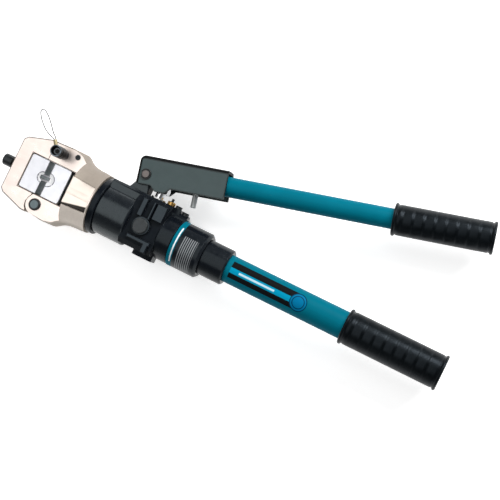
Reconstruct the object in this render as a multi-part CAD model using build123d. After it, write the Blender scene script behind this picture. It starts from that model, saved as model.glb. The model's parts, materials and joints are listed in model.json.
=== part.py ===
from build123d import *
import os
from math import cos, radians, sin, sqrt, tan

# Hand-operated hydraulic crimping tool, lying on its side.
# Working frame: X along the ram from the closed dies towards the handle ends, Y towards the moving
# handle, Z up through the flat sides of the head. X = 0 is the face of the outer die, Y = Z = 0 the ram
# axis. At the end everything shifts so that the origin is the bottom centre of the tool's box.
# All sizes in millimetres, all angles in degrees.

# ---------------------------------------------------------------- fits
running_fit = 0.05          # radial clearance of shafts and pins that turn or slide
seat_fit = 0.02             # radial clearance of parts that are pressed or screwed together
free_gap = 0.4              # gap between faces that pass each other
end_gap = 0.3               # axial gap between parts that turn against each other
tiny = 0.01                 # overreach of a cut past the face that it opens

# ---------------------------------------------------------------- head and dies
head_thickness = 38.0
head_half_height = 49.0     # at the widest place, over the ram end of the window
head_knee_half_height = 47.6
head_nose_half_height = 38.2
head_nose_flat = 33.5       # half length of the flat nose face
head_edge_chamfer = 1.2
nose_corner_run = 4.5       # length along X of the cut nose corner
knee_x = -9.0               # where the outline stops widening fast
die_depth = 24.5            # along the ram
die_half_height = 22.5
die_width = 36.0            # along Z
die_gap = 7.8               # open distance between the two dies at rest
die_corner = 0.4
die_round = 3.0             # of the upright corners at its back
hex_across_flats = 7.0      # the crimp cavity
hex_turn = 30.0             # puts two corners of the hexagon on the split between the dies
outer_flare_radius = 6.5    # mouth of the cavity, on both sides of the outer die
inner_flare_radius = 8.2    # and of the inner die
die_flare_depth = 0.8
window_play = 0.5           # between the dies and the window above and below
latch_bar = 19.0            # solid nose of the latch behind the outer die
split_x = -2.6              # where latch and yoke meet
split_gap = 0.5
ram_side_wall_x = 36.8      # end of the window on the ram side
turning_start_x = 21.0      # from here on the yoke is turned about the ram axis
turned_radius = 49.6
turned_end_x = 34.0         # end of the straight turned part
shoulder_x = 40.2           # on the round shoulder between the turned side and the waist
shoulder_radius = 46.0
waist_x = 47.0              # where the turned side has come in to the waist
waist_radius = 42.2
flat_end_x = 44.5           # end of the milled flats
neck_slope = 0.13           # how fast the arms still narrow at the collar

# ---------------------------------------------------------------- latch hinge and lock
hinge_x = 6.8
hinge_y = -34.5
hinge_pin_radius = 6.0
hinge_head_radius = 7.6
hinge_head_height = 2.4
hinge_pin_tail = 1.4        # past the clip
pin_head_chamfer = 0.8
ear_radius = 12.5           # round end of the yoke ears, about the hinge pin
ear_relief = 0.5            # more room round the ears in the latch
swing_relief = 1.6          # room that the latch corner needs to swing past the ears
swing_shift = 0.4
ear_slope_end_x = 22.8      # the edge below the ears slopes out to the side until here
ear_top_radius = 4.0        # corner of the ears at the window
eye_root_length = 8.0       # how deep the eye is rooted in the latch
eye_root_step = 1.0
tongue_root_length = 8.0
tongue_corner = 4.0
tongue_thickness = 12.0
tongue_end_x = 31.0
tongue_bottom_y = 24.0
tongue_top_y = 45.5
eye_radius = 11.8
lock_x = 13.0
lock_y = 36.9
lock_pin_radius = 5.0
lock_travel = 9.0
lock_pin_tip_z = 6.8        # tip of the pin when it is pulled out
knob_radius = 7.3
knob_length = 21.0
knob_top_z = 50.0
knob_floor = 2.0
knob_cup_radius = 5.9       # the knob's open top
knob_cup_depth = 6.0
knob_pin_cover = 0.4        # what is left of the floor over the pin
knob_groove_width = 1.6
knob_groove_depth = 0.6
knob_groove_height = 13.0   # of the grip groove, from the lower rim
knob_chamfer = 0.5
lock_pin_chamfer = 1.0
bush_radius = 6.3
bush_bite = 11.0            # length of the guide bush that is screwed into the ear
stop_screw_x = 31.0
stop_screw_y = 41.1
stop_screw_radius = 3.4
stop_screw_bite = 6.0
stop_screw_rise = 0.6
stop_screw_socket = 1.5     # half across flats
stop_screw_socket_depth = 1.8

# ---------------------------------------------------------------- die button
button_radius = 7.5
button_length = 12.6
button_end_x = -63.6
button_shank_radius = 4.5
button_tip_radius = 2.5
button_tip_length = 4.0
button_travel = 4.0
button_round = 2.0          # of its outer rim
tip_room = 1.0              # free depth past the button's tip in the die
button_bush_radius = 6.9
button_bush_height = 2.4

# ---------------------------------------------------------------- ram and swivel
ram_radius = 17.5
ram_seat_thickness = 2.6
ram_seat_radius = 15.0
ram_chamfer = 0.6
carrier_half_thickness = 17.0   # flat-sided front of the ram, which fills the slot between the arms
carrier_end_x = 71.0
carrier_chamfer = 0.6
ram_stroke_close = 7.6
slot_half_width = 19.2      # of the ram slot between the arms, at the window
slot_end_half_width = 16.5
slot_end_x = 74.5
yoke_neck_radius = 38.4
spigot_radius = 27.0
spigot_end_x = 90.0
spigot_chamfer = 1.0
piston_radius = 21.0
piston_start_x = 99.0
piston_length = 12.0
seal_width = 3.0
seal_depth = 2.4
wiper_width = 2.5
wiper_depth = 2.2
oring_width = 3.0
oring_place = 2.0           # from the collar's face
snap_ring_width = 2.0
snap_ring_reach = 2.0
snap_ring_place = 1.0       # from the collar's back
collar_start_x = 76.5
collar_radius = 36.5
collar_width = 8.0
collar_chamfer = 1.0
snap_ring_mouth = 12.0      # width of the snap ring's opening
return_bore_radius = 9.0
return_rod_radius = 4.0
return_rod_head_radius = 8.4
return_rod_head_x = 66.0
return_rod_head_width = 3.0
return_rod_bite = 6.0       # length screwed into the pump body
return_rod_room = 8.0       # free depth in the ram ahead of the rod's head
return_spring_outer_radius = 7.8
return_spring_inner_radius = 5.4
return_shoulder_x = 104.0

# ---------------------------------------------------------------- pump body
cylinder_radius = 33.0
cylinder_end_x = 126.0
cylinder_start_chamfer = 1.0
cylinder_end_chamfer = 2.5
bore_end_x = 118.0
deck_top_y = 38.0
deck_half_width = 20.0
deck_chamfer = 3.0
block_end_x = 168.0
block_bottom_y = -29.0
block_top_y = 34.0
block_half_depth = 26.0
block_chamfer = 6.0
rib_height = 5.0
rib_root = 4.0              # how deep the ribs are rooted in the block
rib_top_y = 33.5
rib_chamfer = 1.0
front_rib_x = (133.0, 140.0)
thin_rib_x = (147.5, 151.0)
panel_x = (152.5, 166.5)
rib_bottom_y = 10.0
panel_bottom_y = 12.5
sill_x = (133.0, 165.0)     # long low rib under the plug
sill_y = (-19.0, -14.0)
leg_x = (156.5, 163.5)      # short rib below the sill
neck_radius = 28.5
neck_length = 19.0
neck_chamfer = 1.5
rear_spigot_radius = 22.0
rear_spigot_length = 25.0
boss_x = (143.0, 169.5)     # valve boss under the block
boss_bottom_y = -35.2
boss_half_width = 12.0
boss_chamfer = 3.0
plug_x = 144.5
plug_radius = 9.7
plug_height = 3.0
plug_chamfer = 1.0
plug_boss_radius = 11.0
bottom_plug_x = 156.0
bottom_plug_radius = 7.0
bottom_plug_length = 11.0
bottom_plug_recess = 0.5
bottom_plug_bore = 12.0     # depth of its thread
bottom_plug_socket = 4.0    # half across flats
bottom_plug_socket_depth = 5.0
valve_seat_y = -8.0
valve_ball_radius = 3.5
valve_spring_wall = 0.8
valve_boss_x = 160.0
valve_boss_y = 26.5
valve_boss_radius = 8.5
valve_pad_end_x = 175.5     # raised pad of the filler cap
valve_pad_half_width = 7.0
relief_x = 159.0
relief_radius = 5.2
relief_top_y = 42.6
relief_chamfer = 0.6
relief_thread_radius = 4.0
relief_thread_length = 14.0
relief_screw_radius = 1.7
relief_screw_bite = 3.0
relief_screw_top_y = 46.6
filler_x = 169.8
filler_radius = 4.3
filler_top_y = 41.6
filler_thread_radius = 3.2
filler_thread_length = 8.0
filler_slot_width = 1.2
filler_slot_depth = 1.0
valve_stem_radius = 1.3
valve_stem_reach = 4.0      # out of the pump body's neck
valve_stem_bite = 1.2
valve_stem_y = 30.5
release_inset = 6.0         # from the end of the neck
release_radius = 4.4
release_top_y = 38.0
release_round = 1.0
release_travel = 2.5
release_length = 16.0
release_room = 1.0          # free depth under the button when it is pressed

# ---------------------------------------------------------------- plunger
plunger_x = 141.5
plunger_radius = 6.0
plunger_bottom_y = 2.0
plunger_chamber_bottom_y = -4.0
chamber_play = 0.2          # between the plunger and its chamber
gland_radius = 9.6
gland_top_y = 39.6
gland_key_width = 8.6       # from its axis to each of the two flats on its head
gland_thread_radius = 9.0
gland_thread_bottom_y = 22.0
plunger_seal_width = 3.0
plunger_seal_depth = 2.0
drive_pin_radius = 4.0
drive_pin_bite = 2.0        # depth of its blind holes in the channel walls
slot_play_along = 2.7       # sideways room for the drive pin in the plunger slot
slot_offset = 1.6           # the slot's centre lies this far towards the head from the pin
slot_play_across = 0.7      # room along the plunger
plunger_head_wall = 3.0
plunger_head_half_width = 7.0
plunger_head_round = 2.0

# ---------------------------------------------------------------- moving handle
pivot_x = 117.9
pivot_y = 59.3
handle_angle = 14.25
pivot_pin_radius = 5.0
pivot_pin_tail = 0.9        # past the clip
pin_chamfer = 0.5
lug_radius = 10.0
lug_half_width = 9.0
lug_foot = 15.0             # the lug's foot reaches this far towards the head
lug_foot_rise = 8.0         # height over the deck where the foot's slope meets the lug
lug_root = 2.0
channel_half_inside = 12.5
channel_wall = 3.5
channel_start = -11.8       # along the handle, from the pivot
channel_end = 101.0
channel_top = 23.3          # across the handle, from the pivot
channel_bottom = -12.5
channel_corner = 7.0
channel_fold_radius = 5.0
channel_toe_run = 2.0       # small cut corner at the bracket's lower front end
channel_toe_rise = 3.0
channel_front_bottom = 10.5  # how far down its front wall reaches
lobe_start = 8.0            # drive lobe of each side wall, with sloped ends
lobe_end = 33.5
lobe_bottom = -19.0
drive_along = 22.0
drive_across = -10.5
circlip_thickness = 1.2
circlip_reach = 1.7
circlip_groove = 0.6        # depth of its groove
circlip_opening = 55.0      # angle of its mouth
moving_tube_radius = 12.5
moving_tube_wall = 2.0
moving_tube_across = 5.0
moving_tube_start = 76.0
moving_grip_start = 304.5
moving_grip_end = 425.2
moving_grip_flange_radius = 20.0
moving_grip_radius = 18.6
adapter_start = 48.0
adapter_spigot_length = 30.0
adapter_inset = 3.0         # from the lower rims of the bracket to the adapter's underside
striker_along = 62.5
striker_tip = -28.6
striker_radius = 3.4
striker_bite = 6.0
striker_round = 1.0
washer_radius = 8.5
clip_turn = 200.0           # which way the mouths of the pivot clips point

# ---------------------------------------------------------------- fixed handle
band_width = 7.0
band_radius = 29.0
housing_radius = 29.0
housing_length = 32.5
housing_chamfer = 3.0
housing_thread_radius = 20.0
housing_thread_length = 13.5
nut_radius = 22.6
nut_grip_length = 18.2      # past the thread, round the tube
nut_start_chamfer = 0.6
nut_chamfer = 1.6
fixed_tube_radius = 17.25
fixed_tube_wall = 2.5
bladder_lead = 16.0         # from the pump body's spigot to the bladder
bladder_length = 164.0
bladder_gap = 1.2
bladder_wall = 2.0
bladder_end_wall = 14.0
bladder_round = 8.1
fixed_grip_start_x = 415.4
fixed_grip_end_x = 541.8
fixed_grip_flange_radius = 22.4
fixed_grip_radius = 20.9
grip_flange_width = 4.2
grip_flange_chamfer = 0.8
grip_end_chamfer = 1.2      # at the closed end
grip_end_wall = 4.0
grip_ridges = 8
grip_ridge_height = 0.7
grip_ridge_rise = 0.82      # share of a ridge's length over which it rises
grip_ridge_margin = 3.0     # from the flanges to the first and last ridge

# ---------------------------------------------------------------- lanyard
lanyard_radius = 0.55
ferrule_radius = 2.4
ferrule_length = 6.7
ferrule_z = 46.0
ferrule_direction = 125.0   # about Z, from +X
leg_spacing = 1.9
low_leg_length = 1.5        # straight run of each leg out of the ferrule
high_leg_length = 4.5
lanyard_route = [           # from the end of one leg round the loop to the other
    (-8.6, 52.3, 47.0),
    (-20.0, 62.0, 48.5),
    (-27.0, 72.5, 50.5),
    (-23.8, 76.4, 51.0),
    (-17.0, 73.5, 50.6),
    (-8.0, 64.5, 49.0),
    (-0.3, 54.6, 47.2),
]
bend_share = 0.45           # of the shorter run beside a bend that its arc takes up

# ---------------------------------------------------------------- worked-out places
half_thickness = head_thickness / 2
window_half_height = die_half_height + window_play
die_back_x = -die_depth
nose_x = die_back_x - free_gap - latch_bar
inner_die_x = die_gap
inner_die_back_x = die_gap + die_depth
ram_front_x = inner_die_back_x + ram_seat_thickness
piston_seal_x = piston_start_x + (piston_length - seal_width) / 2
spigot_bore = spigot_radius + running_fit
tongue_half = tongue_thickness / 2
slot_half_gap = tongue_half + free_gap
collar_end_x = collar_start_x + collar_width
oring_x = collar_start_x + oring_place
snap_ring_x = collar_end_x + snap_ring_place
channel_half_outside = channel_half_inside + channel_wall
adapter_bottom = channel_bottom + adapter_inset
knob_floor_z = knob_top_z - knob_cup_depth - knob_floor
bush_top_z = knob_floor_z - lock_travel - free_gap
neck_end_x = block_end_x + neck_length
rear_spigot_end_x = neck_end_x + rear_spigot_length
valve_stem_end_x = neck_end_x + valve_stem_reach
release_x = neck_end_x - release_inset
band_start_x = neck_end_x
housing_start_x = band_start_x + band_width
housing_end_x = housing_start_x + housing_length
fixed_tube_start_x = housing_end_x + housing_thread_length
nut_end_x = fixed_tube_start_x + nut_grip_length
bladder_start_x = rear_spigot_end_x + bladder_lead
bladder_end_x = bladder_start_x + bladder_length
handle_place = Location((pivot_x, pivot_y, 0), (0, 0, handle_angle))
drive_pin_at = handle_place * Location((drive_along, drive_across, 0))
hinge_at = Location((hinge_x, hinge_y, 0))
release_bottom_y = release_top_y - release_length - release_travel - release_room


# ---------------------------------------------------------------- building blocks
def block(xs, ys, zs):
    """Box between two values on each axis."""
    size = [abs(pair[1] - pair[0]) for pair in (xs, ys, zs)]
    centre = [(pair[0] + pair[1]) / 2 for pair in (xs, ys, zs)]
    return Pos(*centre) * Box(*size)


def rod(start, end, radius):
    """Cylinder from one point to another."""
    run = Vector(*end) - Vector(*start)
    seat = Plane(origin=start, z_dir=run)
    return seat * Cylinder(radius, run.length, align=(Align.CENTER, Align.CENTER, Align.MIN))


def rod_x(x0, x1, radius, y=0.0, z=0.0):
    return rod((x0, y, z), (x1, y, z), radius)


def rod_y(y0, y1, radius, x=0.0, z=0.0):
    return rod((x, y0, z), (x, y1, z), radius)


def rod_z(z0, z1, radius, x=0.0, y=0.0):
    return rod((x, y, z0), (x, y, z1), radius)


def plate(points, z0, z1):
    """Flat outline in XY, thickened from z0 to z1."""
    face = make_face(Polyline(*points, close=True))
    return Pos(0, 0, z0) * extrude(face, z1 - z0, dir=(0, 0, 1))


def turned(points):
    """Body of revolution about X; points are (x, radius) from one end to the other."""
    first, last = points[0], points[-1]
    outline = Polyline((first[0], 0), *points, (last[0], 0), close=True)
    return revolve(make_face(outline), Axis.X)


def ring_x(x0, x1, inner, outer):
    return rod_x(x0, x1, outer) - rod_x(x0, x1, inner)


def mirrored(points):
    """A half outline above the X axis, closed by its mirror image below."""
    return list(points) + [(x, -y) for x, y in reversed(points)]


def solid_of(shape):
    """The shape as one solid, or as a group when it has several."""
    solids = shape.solids()
    return solids[0] if len(solids) == 1 else Compound(children=list(solids))


# ---------------------------------------------------------------- head
def head_outline(x_low, x_high):
    """The head's flat outline between two X values, with bevelled rims."""
    half = [
        (nose_x, head_nose_flat),
        (nose_x + nose_corner_run, head_nose_half_height),
        (knee_x, head_knee_half_height),
        (turning_start_x, head_half_height),
        (collar_start_x, head_half_height),
    ]
    whole = plate(mirrored(half), -half_thickness, half_thickness)
    rims = whole.edges().filter_by(lambda e: abs(abs(e.center().Z) - half_thickness) < tiny)
    side = rims.filter_by(lambda e: e.center().X < collar_start_x - tiny)
    whole = chamfer(side, head_edge_chamfer)
    reach = 2 * head_half_height
    return whole & block((x_low, x_high), (-reach, reach), (-reach, reach))


def make_latch():
    body = head_outline(nose_x, split_x - split_gap)
    ear_room = rod_z(-half_thickness, half_thickness, ear_radius + ear_relief)
    body -= hinge_at * ear_room
    body -= hinge_at * Location((-swing_shift, -swing_relief, 0)) * ear_room
    root_x = hinge_x - ear_radius - eye_root_length
    eye = hinge_at * rod_z(-tongue_half, tongue_half, eye_radius)
    eye += block((root_x, hinge_x), (hinge_y - eye_radius, hinge_y + eye_radius - eye_root_step),
                 (-tongue_half, tongue_half))
    tongue = block((split_x - tongue_root_length, tongue_end_x), (tongue_bottom_y, tongue_top_y),
                   (-tongue_half, tongue_half))
    corners = tongue.edges().filter_by(Axis.Z).filter_by(lambda e: e.center().X > split_x)
    tongue = fillet(corners, tongue_corner)
    body += eye + tongue
    window = block((die_back_x - free_gap, split_x), (-window_half_height, window_half_height),
                   (-half_thickness, half_thickness))
    corners = window.edges().filter_by(Axis.Z).filter_by(lambda e: e.center().X < die_back_x)
    body -= fillet(corners, die_round)
    body -= hinge_at * rod_z(-tongue_half, tongue_half, hinge_pin_radius + running_fit)
    body -= rod_z(-tongue_half, tongue_half, lock_pin_radius + running_fit, lock_x, lock_y)
    body -= rod_x(nose_x, die_back_x, button_shank_radius + running_fit)
    return body


def ear_cut():
    """What is cut away round the hinge so that the latch corner can swing past the ears."""
    low = -2 * head_half_height
    corner = block((split_x - ear_radius, hinge_x), (low, hinge_y), (-half_thickness, half_thickness))
    strip = plate([(hinge_x, hinge_y - ear_radius), (ear_slope_end_x, -head_half_height),
                   (ear_slope_end_x, low), (hinge_x, low)], -half_thickness, half_thickness)
    top_corner = block((split_x, split_x + ear_top_radius),
                       (-window_half_height - ear_top_radius, -window_half_height),
                       (-half_thickness, half_thickness))
    top_corner -= rod_z(-half_thickness, half_thickness, ear_top_radius, split_x + ear_top_radius,
                        -window_half_height - ear_top_radius)
    return corner + strip + top_corner


def turned_base():
    """The part of the yoke that is turned about the ram axis, from its first cut to the spigot."""
    touch_radius = sqrt(head_half_height ** 2 + half_thickness ** 2)
    neck_x = collar_start_x - end_gap
    start = (turning_start_x, touch_radius)
    straight = Line(start, (turned_end_x, turned_radius))
    taper = straight % 1
    side = Spline((turned_end_x, turned_radius), (shoulder_x, shoulder_radius),
                  (waist_x, waist_radius), (neck_x, yoke_neck_radius),
                  tangents=[(taper.X, taper.Y), (1, -neck_slope)])
    rest = Polyline((neck_x, yoke_neck_radius), (neck_x, spigot_radius),
                    (spigot_end_x - spigot_chamfer, spigot_radius),
                    (spigot_end_x, spigot_radius - spigot_chamfer), (spigot_end_x, 0),
                    (turning_start_x, 0), start)
    return revolve(make_face(straight + side + rest), Axis.X)


def make_yoke():
    reach = 2 * head_half_height
    base = turned_base()
    body = head_outline(split_x, turning_start_x)
    body += head_outline(turning_start_x, flat_end_x) & base
    body += base & block((flat_end_x, spigot_end_x), (-reach, reach), (-reach, reach))
    body -= ear_cut()
    body += hinge_at * rod_z(-half_thickness, half_thickness, ear_radius)
    # die window and ram slot
    body -= block((split_x - ear_radius, ram_side_wall_x), (-window_half_height, window_half_height),
                  (-reach, reach))
    slot = [(ram_side_wall_x - tiny, slot_half_width), (slot_end_x, slot_end_half_width)]
    body -= plate(mirrored(slot), -reach, reach)
    body -= rod_x(ram_side_wall_x - tiny, slot_end_x, ram_radius + free_gap)
    body -= rod_x(slot_end_x, spigot_end_x, ram_radius + running_fit)
    body -= rod_x(slot_end_x, slot_end_x + wiper_width, ram_radius + wiper_depth)
    # slots for the latch tongue and the hinge eye
    body -= block((split_x, tongue_end_x + free_gap), (0, reach), (-slot_half_gap, slot_half_gap))
    body -= block((split_x - ear_radius, hinge_x + eye_radius + free_gap), (-reach, 0),
                  (-slot_half_gap, slot_half_gap))
    # bores for hinge pin, guide bush, lock pin and stop screw
    body -= hinge_at * rod_z(-half_thickness, half_thickness, hinge_pin_radius + seat_fit)
    body -= rod_z(half_thickness - bush_bite, half_thickness, bush_radius + seat_fit, lock_x, lock_y)
    body -= rod_z(slot_half_gap, half_thickness, lock_pin_radius + running_fit, lock_x, lock_y)
    body -= rod_z(half_thickness - stop_screw_bite, half_thickness, stop_screw_radius + seat_fit,
                  stop_screw_x, stop_screw_y)
    # grooves for the O-ring and the snap ring
    body -= ring_x(oring_x, oring_x + oring_width, spigot_radius - seal_depth, spigot_radius + tiny)
    body -= ring_x(snap_ring_x - end_gap, snap_ring_x + snap_ring_width + end_gap,
                   spigot_radius - snap_ring_reach - end_gap, spigot_radius + tiny)
    return body


def make_hinge_pin():
    head = rod_z(half_thickness, half_thickness + hinge_head_height, hinge_head_radius)
    head = chamfer(head.edges().group_by(Axis.Z)[-1], pin_head_chamfer)
    clip_z = -half_thickness - circlip_thickness
    pin = head + rod_z(clip_z - hinge_pin_tail, half_thickness, hinge_pin_radius)
    groove = rod_z(clip_z, -half_thickness, hinge_pin_radius)
    groove -= rod_z(clip_z, -half_thickness, hinge_pin_radius - circlip_groove)
    return hinge_at * (pin - groove)


def circlip(radius, z0):
    """Flat open retaining ring in its groove."""
    z1 = z0 + circlip_thickness
    ring = rod_z(z0, z1, radius + circlip_reach) - rod_z(z0, z1, radius - circlip_groove)
    far = 2 * (radius + circlip_reach)
    half_open = far * tan(radians(circlip_opening / 2))
    return ring - plate([(0, 0), (far, -half_open), (far, half_open)], z0, z1)


def make_hinge_clip():
    return hinge_at * circlip(hinge_pin_radius, -half_thickness - circlip_thickness)


def make_lock_bush():
    bush = rod_z(half_thickness - bush_bite, bush_top_z, bush_radius, lock_x, lock_y)
    return bush - rod_z(0, bush_top_z, lock_pin_radius + running_fit, lock_x, lock_y)


def make_lock_pin():
    pin = rod_z(lock_pin_tip_z, knob_floor_z + knob_floor - knob_pin_cover, lock_pin_radius)
    pin = chamfer(pin.edges().group_by(Axis.Z)[0], lock_pin_chamfer)
    return Pos(lock_x, lock_y, 0) * pin


def make_lock_knob():
    """Sleeve with a floor: open at the top, and hollow below to pass over the guide bush."""
    bottom = knob_top_z - knob_length
    knob = rod_z(bottom, knob_top_z, knob_radius)
    knob = chamfer(knob.edges().group_by(Axis.Z)[-1], knob_chamfer)
    groove_z = bottom + knob_groove_height
    groove = rod_z(groove_z, groove_z + knob_groove_width, knob_radius)
    groove -= rod_z(groove_z, groove_z + knob_groove_width, knob_radius - knob_groove_depth)
    knob -= groove
    knob -= rod_z(bottom, knob_floor_z, bush_radius + end_gap)
    knob -= rod_z(bottom, knob_floor_z + knob_floor - knob_pin_cover, lock_pin_radius + seat_fit)
    knob -= rod_z(knob_floor_z + knob_floor, knob_top_z, knob_cup_radius)
    return Pos(lock_x, lock_y, 0) * knob


def make_stop_screw():
    top = half_thickness + stop_screw_rise
    screw = rod_z(half_thickness - stop_screw_bite, top, stop_screw_radius)
    socket = extrude(RegularPolygon(stop_screw_socket, 6, major_radius=False), stop_screw_socket_depth)
    screw -= Pos(0, 0, top - stop_screw_socket_depth) * socket
    return Pos(stop_screw_x, stop_screw_y, 0) * screw


# ---------------------------------------------------------------- dies and die button
def make_die(face_x, direction, flare_radius):
    """A die whose crimp face is at face_x and whose body runs towards direction along X."""
    back_x = face_x + direction * die_depth
    die = block((face_x, back_x), (-die_half_height, die_half_height), (-die_width / 2, die_width / 2))
    corners = die.edges().filter_by(Axis.Z).filter_by(lambda e: abs(e.center().X - back_x) < tiny)
    die = fillet(corners, die_round)
    backs = die.edges().filter_by(lambda e: abs(e.center().X - back_x) < tiny)
    die = chamfer(backs, die_corner)
    hexagon = RegularPolygon(hex_across_flats / 2, 6, major_radius=False, rotation=hex_turn)
    cavity = extrude(hexagon, die_width / 2, both=True)
    throat_radius = hex_across_flats / sqrt(3)
    flare = Cone(throat_radius, flare_radius, die_flare_depth,
                 align=(Align.CENTER, Align.CENTER, Align.MAX))
    flare = Pos(0, 0, die_width / 2) * flare
    die -= Pos(face_x, 0, 0) * (cavity + flare + mirror(flare, Plane.XY))
    reach = button_tip_length + button_travel + tip_room
    die -= rod_x(back_x, back_x - direction * reach, button_tip_radius + running_fit)
    return die


def make_button_bush():
    bush = rod_x(nose_x - button_bush_height, nose_x, button_bush_radius)
    return bush - rod_x(nose_x - button_bush_height, nose_x, button_shank_radius + running_fit)


def make_die_button():
    head_end = button_end_x + button_length
    head = rod_x(button_end_x, head_end, button_radius)
    head = fillet(head.edges().group_by(Axis.X)[0], button_round)
    shank_end = die_back_x - free_gap - button_travel
    shank = rod_x(head_end, shank_end, button_shank_radius)
    tip = rod_x(shank_end, die_back_x + button_tip_length, button_tip_radius)
    return head + shank + tip


# ---------------------------------------------------------------- ram
def slot_half(x):
    """Half width of the ram slot between the arms."""
    share = (x - ram_side_wall_x) / (slot_end_x - ram_side_wall_x)
    return slot_half_width + share * (slot_end_half_width - slot_half_width)


def make_ram_carrier():
    outline = [(x, slot_half(x) - free_gap) for x in (ram_front_x, carrier_end_x)]
    carrier = plate(mirrored(outline), -carrier_half_thickness, carrier_half_thickness)
    rims = carrier.edges().filter_by(
        lambda e: abs(abs(e.center().Z) - carrier_half_thickness) < tiny)
    return chamfer(rims, carrier_chamfer)


def make_ram():
    end_x = piston_start_x + piston_length
    ram = turned([
        (ram_front_x, ram_radius - ram_chamfer),
        (ram_front_x + ram_chamfer, ram_radius),
        (piston_start_x, ram_radius),
        (piston_start_x, piston_radius),
        (end_x, piston_radius),
    ])
    ram += make_ram_carrier()
    ram -= ring_x(piston_seal_x, piston_seal_x + seal_width, piston_radius - seal_depth,
                  piston_radius + tiny)
    ram -= rod_x(return_rod_head_x - return_rod_room, return_shoulder_x, return_bore_radius)
    ram -= rod_x(return_shoulder_x, end_x, return_rod_radius + free_gap)
    return ram


def make_ram_seat():
    return rod_x(inner_die_back_x, ram_front_x, ram_seat_radius)


def make_seat_pin():
    return rod_x(inner_die_back_x - button_tip_length, inner_die_back_x, button_tip_radius)


def make_piston_seal():
    return ring_x(piston_seal_x, piston_seal_x + seal_width, piston_radius - seal_depth,
                  piston_radius)


def make_ram_wiper():
    return ring_x(slot_end_x, slot_end_x + wiper_width, ram_radius + running_fit,
                  ram_radius + wiper_depth)


def make_head_oring():
    return ring_x(oring_x, oring_x + oring_width, spigot_radius - seal_depth, spigot_radius)


def make_return_rod():
    stem = rod_x(return_rod_head_x, bore_end_x + return_rod_bite, return_rod_radius)
    head = rod_x(return_rod_head_x, return_rod_head_x + return_rod_head_width,
                 return_rod_head_radius)
    return stem + head


def make_return_spring():
    start = return_rod_head_x + return_rod_head_width
    closed = return_shoulder_x - ram_stroke_close - start - free_gap
    return ring_x(start, start + closed, return_spring_inner_radius, return_spring_outer_radius)


# ---------------------------------------------------------------- swivel joint
def make_swivel_collar():
    collar = turned([
        (collar_start_x, collar_radius - collar_chamfer),
        (collar_start_x + collar_chamfer, collar_radius),
        (collar_end_x - collar_chamfer, collar_radius),
        (collar_end_x, collar_radius - collar_chamfer),
    ])
    return collar - rod_x(collar_start_x, collar_end_x, spigot_bore)


def make_snap_ring():
    ring = ring_x(snap_ring_x, snap_ring_x + snap_ring_width,
                  spigot_radius - snap_ring_reach, spigot_radius + snap_ring_reach)
    half_mouth = snap_ring_mouth / 2
    mouth = block((snap_ring_x, snap_ring_x + snap_ring_width), (-collar_radius, 0),
                  (-half_mouth, half_mouth))
    return ring - mouth


# ---------------------------------------------------------------- pump body
def side_ribs():
    """Raised bars, panel and plug boss on the side of the pump block that faces up."""
    low, high = block_half_depth - rib_root, block_half_depth + rib_height
    places = [
        (front_rib_x, (rib_bottom_y, rib_top_y)),
        (thin_rib_x, (rib_bottom_y, rib_top_y)),
        (panel_x, (panel_bottom_y, rib_top_y)),
        (sill_x, sill_y),
        (leg_x, (block_bottom_y, sill_y[1])),
    ]
    ribs = Sketch() + [Pos(sum(xs) / 2, sum(ys) / 2) * Rectangle(xs[1] - xs[0], ys[1] - ys[0])
                       for xs, ys in places]
    bars = Pos(0, 0, low) * extrude(ribs, high - low)
    tops = bars.edges().filter_by(lambda e: abs(e.center().Z - high) < tiny)
    bars = chamfer(tops, rib_chamfer)
    return bars + rod_z(low, high, plug_boss_radius, plug_x)


def pump_casting():
    """The outside of the pump body."""
    barrel = turned([
        (collar_end_x, cylinder_radius - cylinder_start_chamfer),
        (collar_end_x + cylinder_start_chamfer, cylinder_radius),
        (cylinder_end_x - cylinder_end_chamfer, cylinder_radius),
        (cylinder_end_x, cylinder_radius - cylinder_end_chamfer),
    ])
    centre = block((cylinder_end_x - cylinder_end_chamfer, block_end_x), (block_bottom_y, block_top_y),
                   (-block_half_depth, block_half_depth))
    centre = chamfer(centre.edges().filter_by(Axis.X), block_chamfer)
    deck = block((collar_end_x, block_end_x), (0, deck_top_y), (-deck_half_width, deck_half_width))
    deck_rims = deck.edges().filter_by(Axis.X).filter_by(lambda e: e.center().Y > tiny)
    deck = chamfer(deck_rims, deck_chamfer)
    neck = turned([
        (block_end_x - neck_chamfer, neck_radius - neck_chamfer),
        (block_end_x, neck_radius),
        (neck_end_x - neck_chamfer, neck_radius),
        (neck_end_x, neck_radius - neck_chamfer),
        (neck_end_x, rear_spigot_radius),
        (rear_spigot_end_x, rear_spigot_radius),
    ])
    boss = block(boss_x, (boss_bottom_y, 0), (-boss_half_width, boss_half_width))
    boss = chamfer(boss.edges().filter_by(Axis.Y), boss_chamfer)
    valve_boss = rod_x(valve_boss_x, neck_end_x, valve_boss_radius, valve_boss_y)
    valve_boss += block((valve_boss_x, neck_end_x), (0, valve_boss_y),
                        (-valve_boss_radius, valve_boss_radius))
    pad = block((valve_boss_x, valve_pad_end_x), (valve_boss_y, deck_top_y),
                (-valve_pad_half_width, valve_pad_half_width))
    ribs = side_ribs()
    body = barrel + centre + deck + neck + boss + valve_boss + pad
    return body + ribs + mirror(ribs, Plane.XY)


def pivot_lug():
    lug = rod_z(-lug_half_width, lug_half_width, lug_radius, pivot_x, pivot_y)
    root_y = deck_top_y - lug_root
    foot = plate([(pivot_x - lug_foot, root_y), (pivot_x - lug_radius, deck_top_y + lug_foot_rise),
                  (pivot_x - lug_radius, pivot_y), (pivot_x + lug_radius, pivot_y),
                  (pivot_x + lug_radius, root_y)], -lug_half_width, lug_half_width)
    return lug + foot


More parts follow.
